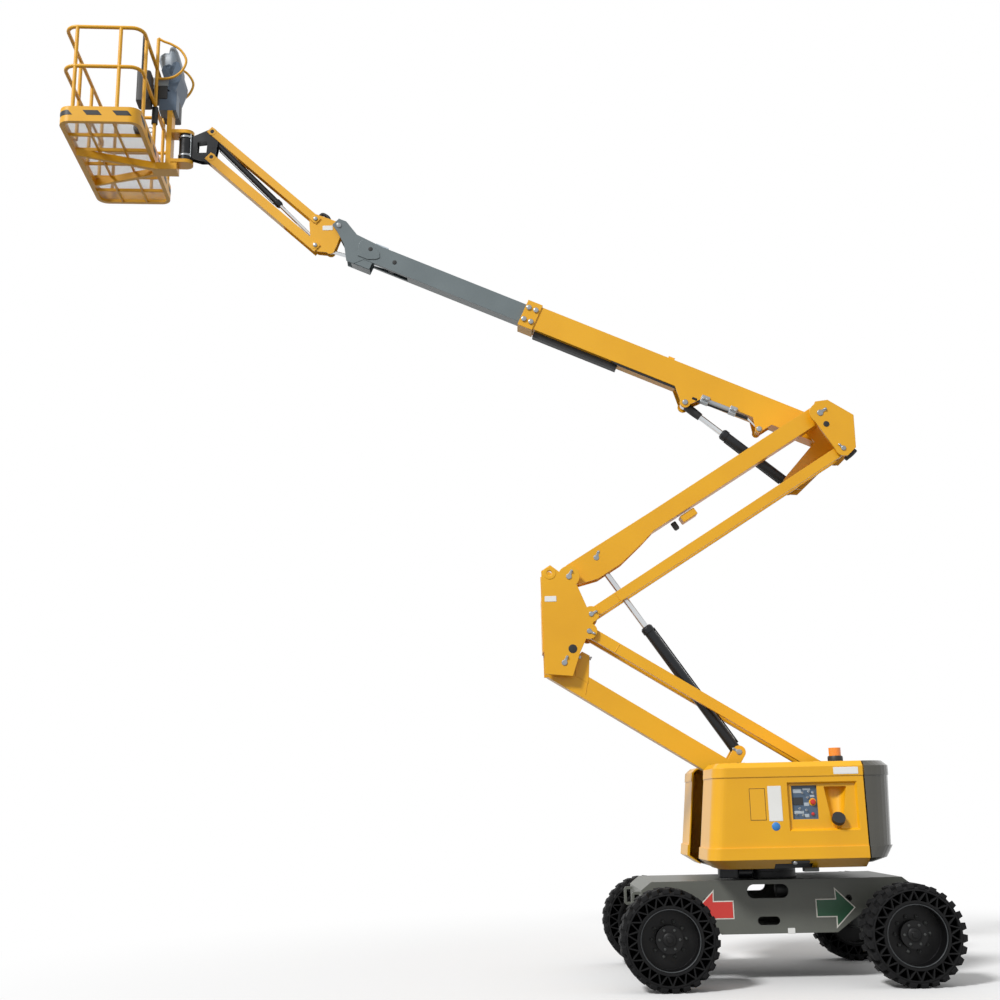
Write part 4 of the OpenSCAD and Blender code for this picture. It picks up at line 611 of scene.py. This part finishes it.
def dashRing(d):
    # arc length round the plan from its half-way point, then a slanted band laid on each dash's stretch
    plan = rounded(d["x"][1] - d["x"][0], 2 * d["halfY"], d["corner"], 24) + (sum(d["x"]) / 2, 0)
    plan = np.roll(plan, len(plan) // 2, 0)
    loop = np.vstack([plan, plan[:1]])
    reach = np.concatenate([[0], np.cumsum(np.linalg.norm(np.diff(loop, axis=0), axis=1))])
    rise = np.linspace(0, 1, d["rows"])
    shells = []
    for start in d["first"] + np.arange(d["count"]) * reach[-1] / d["count"]:
        along = (start + np.linspace(0, d["length"], d["columns"])[:, None] + d["slant"] * rise) % reach[-1]
        x, y = np.interp(along, reach, loop[:, 0]), np.interp(along, reach, loop[:, 1])
        ahead = (along + d["ahead"]) % reach[-1]
        tangent = np.stack([np.interp(ahead, reach, loop[:, 0]) - x, np.interp(ahead, reach, loop[:, 1]) - y], -1)
        tangent = tangent / np.linalg.norm(tangent, axis=-1)[..., None]
        push = np.stack([tangent[..., 1], -tangent[..., 0], np.zeros_like(x)], -1)
        skin = np.stack([x, y, np.broadcast_to(d["z"][0] + rise * (d["z"][1] - d["z"][0]), x.shape)], -1)
        inner, outer = skin - d["sunk"] * push, skin + d["proud"] * push
        shells.append(ringShell(inBasket(np.concatenate([inner, outer[:, ::-1]], 1))))
    return shells


addPiece("toeDashes", "basket", "blackFilm", dashRing(dash))
print("arrows and dashes laid")

# blank plates on the hood, chassis, knuckle and jib (x, z, width, height), a disc, and black discs over two holes as
# painted shade
hoodPlates = {"face": -0.988, "crest": -0.994, "white": (-0.052, 1.542, 0.121, 0.304), "line": 0.005,
              "amber": (-0.206, 1.538, 0.14, 0.275), "crestWhite": (0.593, 1.815, 0.221, 0.062)}


def sign(spec, y, depth=0.0018, radius=0.006):
    # a thin rounded plate on a near face, from its x, z, width and height
    return plate(rounded(spec[2], spec[3], radius), depth, (spec[0], y, spec[1]))


def nearDisc(profile, spot, y, count):
    # a low turned part on a face that looks to the near side
    return turned(profile, (spot[0], y, spot[1]), nearSide, count)


def frameBars(x, z, width, height, line):
    # four thin bars just inside a rectangle
    return ([(x, z + s * (height - line) / 2, width, line) for s in (-1, 1)]
            + [(x + s * (width - line) / 2, z, line, height) for s in (-1, 1)])


hoodFace, knuckleFace = hoodPlates["face"], plateFace["near"][0]
addPiece("hoodWhitePlates", "hood_right", "whitePlate",
         [sign(hoodPlates["white"], hoodFace), sign(hoodPlates["crestWhite"], hoodPlates["crest"])])
addPiece("hoodAmberPlate", "hood_right", "amberPlate", [sign(hoodPlates["amber"], hoodFace, 0.0015)])
addPiece("hoodAmberFrame", "hood_right", "brownFilm",
         [sign(bar, hoodFace, 0.0022, 0.001) for bar in frameBars(*hoodPlates["amber"], hoodPlates["line"])])
addPiece("hoodBlueDisc", "hood_right", "blueFilm",
         [nearDisc([(0.037, 0), (0.037, 0.0015), (0.036, 0.002)], (-0.057, 1.346), hoodFace, 32)])
addPiece("chassisPlate", "chassis", "whitePlate", [sign((0.105, 0.43, 0.066, 0.05), -arrow["side"])])
addPiece("kneePlate", "mid_knuckle", "whitePlate", [sign((-1.956, 3.522, 0.115, 0.055), knuckleFace)])
# black discs where the knuckles have holes: the dark inside of each hole is painted shade
holes = [("kneeHole", "mid_knuckle", (-1.755, 3.032), 0.042, 0.036, 28),
         ("topHole", "top_knuckle", (0.87, 5.237), 0.03, 0.026, 24)]
for name, body, spot, outer, inner, count in holes:
    addPiece(name, body, "blackRubberAndHoleShade",
             [nearDisc([(outer, -0.001), (outer, 0.003), (inner, 0.004)], spot, knuckleFace, count)])
addPiece("jibPlate", "jib_base", "whitePlate", [sign((-4.238, 7.722, 0.112, 0.055), 0.134)])

# ground controls: display, stop button on its ring, small red button, toggles and blank fields
panel = {"face": -0.9337, "display": (0.163, 1.558, 0.088, 0.064), "stop": (0.292, 1.549), "small": (0.286, 1.446),
         "toggles": [(0.205, 1.63), (0.262, 1.64), (0.3, 1.628), (0.25, 1.588), (0.232, 1.48), (0.172, 1.492),
                     (0.142, 1.446), (0.2, 1.436)],
         "fields": [(0.16, 1.645, 0.075, 0.036), (0.245, 1.66, 0.07, 0.018), (0.238, 1.53, 0.046, 0.03),
                    (0.165, 1.462, 0.09, 0.026), (0.235, 1.432, 0.04, 0.03), (0.292, 1.6, 0.04, 0.02)]}
mushroom = [(0.012, 0), (0.012, 0.012), (0.023, 0.014), (0.024, 0.02), (0.019, 0.026), (0.008, 0.029)]
toggle = [(0.011, -0.001), (0.011, 0.004), (0.0045, 0.005), (0.004, 0.018), (0.006, 0.022), (0.004, 0.026)]
addPiece("panelDisplay", "hood_right", "displayGlass", [sign(panel["display"], panel["face"], 0.006)])
addPiece("stopRing", "hood_right", "yellowMoulding",
         [nearDisc([(0.033, -0.001), (0.033, 0.003), (0.031, 0.004)], panel["stop"], panel["face"], 28)])
addPiece("stopButtons", "hood_right", "redMoulding",
         [nearDisc(mushroom, panel["stop"], panel["face"], 24),
          nearDisc([(r * 0.6, h * 0.6) for r, h in mushroom], panel["small"], panel["face"], 20)])
addPiece("panelToggles", "hood_right", "zincSteel",
         [turned(toggle, (x, panel["face"], z), nearSide + np.array((0, 0, 0.25)), 12) for x, z in panel["toggles"]])
addPiece("panelFields", "hood_right", "panelPrint", [sign(f, panel["face"], 0.0012, 0.004) for f in panel["fields"]])

# hood latches on the tucked-in lower band, each with a round lock; strikers on the deck below
latch = {"x": 0.14, "y": 0.9675, "z": 1.045, "rise": (0.852, 0.524), "size": (0.165, 0.036), "lock": -0.05,
         "strikerX": (0.178, 0.308), "strikerY": (0.836, 0.928), "strikerZ": (0.955, 0.99)}
for body, s in (("hood_right", -1), ("hood_left", 1)):
    across = np.array((-s, 0.0, 0))
    slope = np.array((0, s * latch["rise"][0], latch["rise"][1]))
    spot = np.array((latch["x"], s * latch["y"], latch["z"]))
    addPiece(body + "Latch", body, "blackMouldingAndGapShade",
             [plate(rounded(*latch["size"], 0.016), 0.012, spot, across, slope, 0.004)])
    addPiece(body + "Lock", body, "zincSteel",
             [turned([(0.021, 0.01), (0.021, 0.017), (0.017, 0.02), (0.008, 0.02)],
                     spot + np.array((latch["lock"], 0, 0)), np.cross(across, slope), 20)])
    striker = zip(latch["strikerX"], sorted(s * y for y in latch["strikerY"]), latch["strikerZ"])
    addPiece(body + "Striker", "turntable", "castIron", [box(*striker, 0.008)])
addPiece("beaconBase", "hood_right", "blackMouldingAndGapShade",
         [turned([(0.069, 0), (0.069, 0.046), (0.064, 0.056), (0.056, 0.056), (0.056, 0)],
                 (0.609, -0.6, 1.9), (0, 0, 1), 32, closed=True)])
hoodWall = nodePoints("hood_right")
hoodWall = hoodWall[hoodWall[:, 1] > hoodWall[:, 1].max() - 0.004]  # the inner wall, next to the arms
# black sheets just inside the hoods' inner walls: painted shade for the dark gap between the hoods and the arms
gapShadeSheet = {"y": 0.355, "half": 0.003, "x": (hoodWall[:, 0].min() + 0.02, 0.1), "z": (1.04, 1.84)}
addPiece("hoodGapShadeSheets", "turntable", "blackMouldingAndGapShade",
         [box((gapShadeSheet["x"][0], s * gapShadeSheet["y"] - gapShadeSheet["half"], gapShadeSheet["z"][0]),
              (gapShadeSheet["x"][1], s * gapShadeSheet["y"] + gapShadeSheet["half"], gapShadeSheet["z"][1]), 0.002, 0.001) for s in (1, -1)])
addPiece("slewDrive", "turntable", "blackEnamel",
         [box((-0.495, -0.47, 0.89), (-0.315, -0.33, 0.986), 0.03),
          turned([(0.055, 0), (0.055, 0.12), (0.04, 0.13)], (-0.315, -0.4, 0.938), (1, 0, 0), 20)])
addPiece("drivePump", "chassis", "castIron",
         [turned([(0.045, 0), (0.06, 0.01), (0.06, 0.1), (0.078, 0.102), (0.078, 0.125), (0.06, 0.127), (0.06, 0.22),
                  (0.04, 0.24)], (0.02, -0.36, 0.775), (1, 0, 0), 28)])
print("hood, panel and chassis fittings set")

# the boom's underside: a load valve of two blocks and a cross tube, the level pump with its rod, two hoses
valve = {"blocks": [((1.34, -0.155), (0.09, 0.085)), ((1.03, -0.15), (0.08, 0.085))], "y": (0.06, 0.128),
         "pipe": 0.026, "plug": [(0.016, 0), (0.016, 0.022), (0.011, 0.026)]}
pump = {"from": (1.47, -0.185), "to": (0.86, -0.16), "end": (0.71, -0.228), "y": 0.104, "radius": 0.018, "rod": 0.01}
hoses = {0.011: [(1.36, -0.13, 0.098), (1.44, -0.15, 0.098), (1.5, -0.13, 0.1), (1.58, -0.118, 0.105),
                 (1.7, -0.131, 0.11)],
         0.012: [(2.4, -0.128, 0.1), (2.3, -0.142, 0.1), (1.95, -0.143, 0.1), (1.66, -0.143, 0.1),
                 (1.58, -0.128, 0.1)]}


def boomBlock(at, size, y0, y1, radius=0.008):
    # a rounded block square to the boom, its depth running from one y to another
    return plate(rounded(*size, radius), y1 - y0, onBoom(*at, y1), -boomAlong, boomUp, 0.004)


def straight(start, end, radius, steps, count):
    # a tube on equal steps from start to end
    return tube(np.linspace(start, end, steps), radius, count=count)


valveEnds = [onBoom(*at, sum(valve["y"]) / 2) for at, size in valve["blocks"]]
addPiece("loadValve", "main_boom", "valveAluminium",
         [boomBlock(at, size, *valve["y"]) for at, size in valve["blocks"]]
         + [straight(*valveEnds, valve["pipe"], 6, 16)]
         + [turned(valve["plug"], onBoom(at[0] + d, at[1], valve["y"][0]), nearSide, 6)
            for at, size in valve["blocks"] for d in (-0.02, 0.02)])
pumpFrom, pumpTo, pumpEnd = (onBoom(*pump[k], pump["y"]) for k in ("from", "to", "end"))
addPiece("levelPump", "main_boom", "blackEnamel",
         [straight(pumpFrom, pumpTo, pump["radius"], 6, 16),
          turned([(0.024, 0), (0.024, 0.05), (0.02, 0.055)], pumpFrom, -boomAlong, 16)])
addPiece("levelPumpRod", "main_boom", "chromedSteel", [straight(pumpTo, pumpEnd, pump["rod"], 4, 12)])
addPiece("boomHose", "main_boom", "blackRubberAndHoleShade",
         [tube(smoothed([onBoom(*p) for p in path]), radius) for radius, path in hoses.items()])

# fly boom's tip: lapped plates with holes drawn as black discs of painted shade, a pad on top, an open bracket
# underneath
tip = {"lap": np.array([(5.4, 0.095), (5.274, 0.085), (5.165, 0.03), (5.139, -0.02), (5.162, -0.05),
                        (5.251, -0.09), (5.367, -0.092), (5.4, -0.02), (5.415, 0.05)]), "lapDepth": 0.008,
       "holes": [((5.271, 0.03), 0.0), ((4.97, -0.007), 0.007)], "pad": (5.175, 0.114, 0.24),
       "along": (5.19, 5.405), "up": (-0.1, -0.192), "wall": 0.01, "y": (0.108, 0.252)}


def boomPlate(outline, depth, y, out):
    # an outline given along and up the boom, laid on its near or far face
    u = -boomAlong if out[1] < 0 else boomAlong
    shape = outline * ((-1, 1) if out[1] < 0 else (1, 1))
    return plate(shape, depth, onBoom(0, 0, y), u, boomUp)


addPiece("tipLaps", "fly_boom", "flyEnamel",
         [boomPlate(tip["lap"], tip["lapDepth"], y, out) for y, out in zip(flySides, (nearSide, farSide))])
# black discs on the laps where the holes are: painted shade
addPiece("tipHoleShades", "fly_boom", "blackRubberAndHoleShade",
         sum([facePair([(0.024, 0), (0.024, 0.0095 - s), (0.021, 0.0105 - s)], onBoom(*spot), *flySides, 24)
              for spot, s in tip["holes"]], []))
addPiece("tipPad", "fly_boom", "panelPrint",
         [plate(rounded(0.15, 0.022, 0.006), 0.12, onBoom(*tip["pad"]), -boomAlong, boomUp, 0.003)])
(start, end), (high, low) = tip["along"], tip["up"]
bracketSide = np.array([(start, high), (start, low), (end, low), (end, high)])
addPiece("tipBracket", "fly_boom", "flyEnamel",
         [boomPlate(bracketSide, tip["wall"], tip["y"][0] + tip["wall"], nearSide),
          boomPlate(bracketSide, tip["wall"], tip["y"][1] - tip["wall"], farSide),
          boomBlock(((start + end) / 2, low + tip["wall"] / 2), (end - start, tip["wall"]), *tip["y"], 0.002)])

# weld seams on the lower arm and the links, a bracket and a fitting on the upper arm, rubber strips
linkSeam = {"reach": 0.315, "half": 0.045, "radius": 0.004, "faces": (-0.275, 0.015)}
lowerRun = unit(pivot["knuckle_level"] - pivot["arm_lift"])
upperRun = unit(pivot["top_level"] - pivot["upper_arm_follow"])


def seam(start, end, y, radius=0.0045):
    # a weld bead, half sunk in the face
    return tube(np.linspace(atDepth(start, y), atDepth(end, y), 10), radius, (0, 1, 0), 8)


def crossways(run):
    # a quarter turn in the upright plane of the arms
    return np.array((-run[2], 0, run[0]))


addPiece("lowerArmSeams", "lower_arm", "yellowEnamel",
         [seam((-1.608, 0, 2.785), (-1.643, 0, 2.606), plateFace[side][0]) for side in ("armNear", "armFar")])
for link, pin, run in (("lower", midPins[1], -lowerRun), ("upper", midPins[3], upperRun)):
    middle = pin + run * linkSeam["reach"]
    half = crossways(run) * linkSeam["half"]
    addPiece(link + "LinkLaps", link + "_links", "yellowEnamel",
             [seam(middle - half, middle + half, y, linkSeam["radius"]) for y in linkSeam["faces"]])


def underUpperArm(along, below, y):
    # so far along the upper arm from its lower pin, and so far under its middle line
    return atDepth(pivot["upper_arm_follow"] + upperRun * along - crossways(upperRun) * below, y)


addPiece("upperArmBracket", "upper_arm", "yellowEnamel",
         [plate(rounded(0.17, 0.075, 0.01), 0.13, underUpperArm(1.365, 0.125, -0.065), -upperRun, -crossways(upperRun),
                0.004)])
addPiece("upperArmFitting", "upper_arm", "blackRubberAndHoleShade",
         [turned([(0.026, 0), (0.03, 0.01), (0.03, 0.07), (0.022, 0.085)], underUpperArm(1.2, 0.095, -0.13),
                 -crossways(upperRun), 16)])
addPiece("topRubber", "top_knuckle", "blackRubberAndHoleShade",
         [tube(smoothed([(1.17, -0.2, 4.99), (1.125, -0.2, 4.945), (1.062, -0.2, 4.898)]), 0.022)])
addPiece("jibBaseRubber", "jib_base", "blackRubberAndHoleShade",
         [tube(smoothed([(-4.34, 0.18, 7.875), (-4.3, 0.18, 7.905), (-4.245, 0.18, 7.872), (-4.225, 0.18, 7.83)]),
               0.02)])
print("boom valve, fly tip and arm details set")

# cylinders: a gland ring, a hard oil line along the barrel, and a sleeve where the photograph shows one
oilLines = ((0.007, 1), (0.007, -1), (0.005, 1), (0.005, 1))  # radius and side, cylinder by cylinder
sleeve = {"boom": (0.19, 0.065)}  # length, distance back from the rod's end


def reachOf(points, pin, axis):
    # distance along the axis and away from it
    along = (points - pin) @ axis
    return along, np.linalg.norm(points - pin - along[:, None] * axis, axis=1)


for ram, (bore, way) in zip(rams, oilLines):
    barrel, rod = ram + "_barrel", ram + "_rod"
    pin, axis = pivot[barrel + "_tilt"], unit(joints[rod + "_slide"]["axis"])
    along, away = reachOf(nodePoints(barrel), pin, axis)
    end, wide = along.max(), away[along > along.max() - 0.003].max()
    rodAlong, rodAway = reachOf(nodePoints(rod), pin, axis)
    thin = rodAway[rodAlong < rodAlong.min() + 0.003].max()
    gland = [(wide + 0.008, -0.055), (wide + 0.008, -0.006), (thin + 0.012, 0.012), (thin + 0.0015, 0.012),
             (thin + 0.0015, 0.0005), (wide + 0.0005, 0.0005), (wide + 0.0005, -0.055)]
    addPiece(ram + "Gland", barrel, "blackEnamel", [turned(gland, pin + axis * end, axis, 32, closed=True)])
    side = way * np.array((axis[2], 0, -axis[0]))
    run = [(0.1, wide - 0.004), (0.1, wide + 0.006), (0.13, wide + 0.009), (0.5 * end, wide + 0.009),
           (end - 0.1, wide + 0.009), (end - 0.07, wide + 0.006), (end - 0.07, wide - 0.004)]
    addPiece(ram + "OilLine", barrel, "blackRubberAndHoleShade",
             [tube(smoothed([pin + a * axis + r * side for a, r in run], 8), bore)])
    if ram in sleeve:
        length, back = sleeve[ram]
        far = rodAlong.max() - back
        rolled = [(thin + 0.01, -length), (thin + 0.014, -0.6 * length), (thin + 0.014, -0.1 * length),
                  (thin + 0.008, 0), (thin + 0.0004, 0), (thin + 0.0004, -length)]
        addPiece(ram + "Sleeve", rod, "blackRubberAndHoleShade", [turned(rolled, pin + axis * far, axis, 28, closed=True)])
    print(ram, "cylinder: barrel radius", round(wide, 4), "rod radius", round(thin, 4))

# rotator: two tie rods between clamp rings on the jib head
spindle = pivot["basket_turn"]
clampRing = [(0.084, 0), (0.084, 0.022), (0.0768, 0.022), (0.0768, 0)]
addPiece("rotatorRods", "jib_head", "zincSteel",
         [straight(spindle + (0.066, y, 0.0), spindle + (0.066, y, 0.285), 0.007, 4, 12) for y in (-0.058, 0.058)]
         + [turned(clampRing, spindle + (0, 0, z), (0, 0, 1), 40, closed=True) for z in (0.02, 0.24)])

# guard rail: top and middle runs with bent corners, posts, and two bent hoops round the controls
rail = {"x": (-1.13, -0.33), "halfY": 0.895, "corner": 0.12, "top": 1.039, "middle": 0.575, "foot": 0.08,
        "tube": 0.02, "gate": (0.25, 0.76), "sidePosts": (-1.005, -0.555), "frontPosts": (-0.25, 0.25, 0.76),
        "backPosts": 0.7, "hoopY": (-0.13, 0.345), "hoopPost": 1.42, "hoopTube": 0.014,
        "hoop": [(-0.33, 1.43), (-0.275, 1.395), (-0.18, 1.355), (-0.08, 1.285), (-0.015, 1.16), (-0.055, 1.03),
                 (-0.14, 0.95), (-0.24, 0.925), (-0.33, 0.925)]}


def railShells(r):
    # the plan's bends joined into a closed top run and a middle run left open at the gate
    (front, back), side, top = r["x"], r["halfY"], r["top"]
    plan = rounded(back - front, 2 * side, r["corner"], 7) + ((front + back) / 2, 0)
    half = len(plan) // 2
    gapped = np.vstack([[(front, r["gate"][0])], plan[half:], plan[:half], [(front, r["gate"][1])]])
    runs = [inBasket(np.column_stack([xy, np.full(len(xy), z)])) for xy, z in ((plan, top), (gapped, r["middle"]))]
    shells = [tube(run, r["tube"], (0, 0, 1), 12, closed) for run, closed in zip(runs, (True, False))]
    posts = [(x, s * side, top) for x in r["sidePosts"] for s in (-1, 1)] + [(front, y, top) for y in r["frontPosts"]]
    posts += [(back, y, r["hoopPost"]) for y in r["hoopY"]] + [(back, s * r["backPosts"], top) for s in (-1, 1)]
    shells += [tube(inBasket(np.linspace((x, y, r["foot"]), (x, y, z), 3)), r["tube"], count=12) for x, y, z in posts]
    shells += [tube(inBasket(smoothed([(x, y, z) for x, z in r["hoop"]])), r["hoopTube"], basketY) for y in r["hoopY"]]
    return shells


rails = addPiece("guardRails", "basket", "yellowEnamel", railShells(rail))
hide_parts("guard_rail")

# platform fittings, all in the basket's own frame
cover = {"outline": [(-0.220035, 1.36775), (-0.16553, 1.3925), (-0.12589, 1.32275), (-0.101115, 1.21025),
                     (-0.10607, 1.109), (-0.1358, 1.00775), (-0.17544, 0.929), (-0.22499, 0.9965),
                     (-0.29436, 1.109), (-0.332018, 1.199), (-0.32409, 1.260875), (-0.27454, 1.30025),
                     (-0.229945, 1.298)],
         "ends": [(0.3, 0), (0.292, 0.01), (0.26, 0.014), (0.1, 0.016), (-0.03, 0.014), (-0.065, 0.002),
                  (-0.085, -0.02)], "draw": 0.014}


def coverRings(c):
    # the side outline carried across the platform, drawn in at both ends
    points, mitre = facing(c["outline"])
    sides = [(points + mitre * (grow - c["draw"]), y) for y, grow in c["ends"]]
    return inBasket(np.array([np.column_stack([p[:, 0], np.full(len(p), y), p[:, 1]]) for p, y in sides]))


addPiece("consoleCover", "basket", "paleMoulding", [ringShell(coverRings(cover))], 50.0)
basketBoxes = {
    "consoleLid": ("greyMoulding", [((-0.405, -0.1, 0.855), (-0.205, 0.07, 0.957), 0.02)]),
    "consoleTray": ("blackMouldingAndGapShade", [
        ((-0.4, -0.095, 0.7), (-0.21, 0.065, 0.855), 0.02), ((-0.3, 0.1, 0.6), (-0.12, 0.3, 0.8), 0.02)]),
    "railBox": ("blackMouldingAndGapShade", [
        ((-0.5, -0.35, 0.52), (-0.352, -0.15, 0.89), 0.025), ((-0.452, -0.36, 0.86), (-0.432, -0.2, 1.33), 0.006)]),
    "footPedal": ("blackMouldingAndGapShade", [
        ((-0.425, -0.7, -0.036), (-0.325, -0.54, 0.06), 0.012), ((-0.425, -0.7, 0.05), (-0.405, -0.54, 0.14), 0.006),
        ((-0.345, -0.7, 0.05), (-0.325, -0.54, 0.14), 0.006)]),
}
for name, (finish, boxes) in basketBoxes.items():
    addPiece(name, "basket", finish, [moved(box(low, high, r), inBasket) for low, high, r in boxes])
addPiece("lanyardRing", "basket", "zincSteel",
         [turned(roundRing(0.03, 0.006), inBasket((-0.372, -0.13, 0.287)), basketY, 24, closed=True)])
sleeveSection = [(0.034, 0), (0.034, 0.2), (0.0195, 0.2), (0.0195, 0)]
addPiece("postSleeve", "basket", "blackRubberAndHoleShade",
         [turned(sleeveSection, inBasket((-0.33, -0.13, 0.36)), (0, 0, 1), 20, closed=True)])
addPiece("platformButtons", "basket", "redMoulding",
         [turned(mushroom, inBasket((-0.3, 0.02, 0.957)), (0, 0, 1), 24)])
print("platform fittings set")

# stage: pale floor that fades to white, soft sky and one broad sun
stageLook = {"floorSide": 60.0, "paper": "#E6E6E6", "whiteFrom": 3.5, "whiteTo": 9.0,
             "bounce": "#6A6A6A", "sky": 0.62, "sun": 2.65, "sunAim": (0.5, 0.56, -0.66), "sunSpread": 10.0}


def seenDirectly(tree):
    # one where the camera, a reflection or a view through glass looks, nought for light that bounces
    rays = addNode(tree, "ShaderNodeLightPath").outputs
    seen = rays["Is Camera Ray"]
    for ray in ("Is Glossy Ray", "Is Transmission Ray"):
        seen = addNode(tree, "ShaderNodeMath", links={0: seen, 1: rays[ray]}, operation="MAXIMUM").outputs["Value"]
    return seen


def mixed(tree, share, first, second):
    # the first shader where the share is nought, the second where it is one
    return addNode(tree, "ShaderNodeMixShader", links={0: share, 1: first.outputs[0], 2: second.outputs[0]})


def setStage(s):
    half = s["floorSide"] / 2
    floorMesh = bpy.data.meshes.new("floor")
    floorMesh.from_pydata([(-half, -half, 0), (half, -half, 0), (half, half, 0), (-half, half, 0)], [], [(0, 1, 2, 3)])
    floor = bpy.data.objects.new("floor", floorMesh)
    bpy.context.scene.collection.objects.link(floor)
    paper, tree = newMaterial("paperFloor")
    place = addNode(tree, "ShaderNodeTexCoord").outputs["Object"]
    away = addNode(tree, "ShaderNodeVectorMath", links={0: place}, operation="LENGTH")
    fade = addNode(tree, "ShaderNodeMapRange", {"From Min": s["whiteFrom"], "From Max": s["whiteTo"]},
                   {"Value": away.outputs["Value"]}, interpolation_type="SMOOTHSTEP")
    matt = addNode(tree, "ShaderNodeBsdfDiffuse", {"Color": linearColour(s["paper"])})
    glow = addNode(tree, "ShaderNodeEmission", {"Color": (1, 1, 1, 1), "Strength": 1.0})
    seenFloor = mixed(tree, fade.outputs["Result"], matt, glow)
    dull = addNode(tree, "ShaderNodeBsdfDiffuse", {"Color": linearColour(s["bounce"])})  # what it throws back up
    shader = mixed(tree, seenDirectly(tree), dull, seenFloor)
    addNode(tree, "ShaderNodeOutputMaterial", links={"Surface": shader.outputs["Shader"]})
    floorMesh.materials.append(paper)
    world = bpy.data.worlds.new("sky")
    bpy.context.scene.world = world
    world.use_nodes = True
    tree = world.node_tree
    tree.nodes.clear()
    lit = addNode(tree, "ShaderNodeBackground", {"Color": (1, 1, 1, 1), "Strength": s["sky"]})
    white = addNode(tree, "ShaderNodeBackground", {"Color": (1, 1, 1, 1), "Strength": 1.0})
    both = mixed(tree, seenDirectly(tree), lit, white)
    addNode(tree, "ShaderNodeOutputWorld", links={"Surface": both.outputs["Shader"]})
    sunData = bpy.data.lights.new("sun", "SUN")
    sunData.energy = s["sun"]
    sunData.angle = math.radians(s["sunSpread"])
    sun = bpy.data.objects.new("sun", sunData)
    sun.rotation_euler = Vector(s["sunAim"]).to_track_quat("-Z", "Y").to_euler()
    bpy.context.scene.collection.objects.link(sun)


setStage(stageLook)
bpy.context.scene.view_settings.view_transform = "Standard"
print("stage and light set")
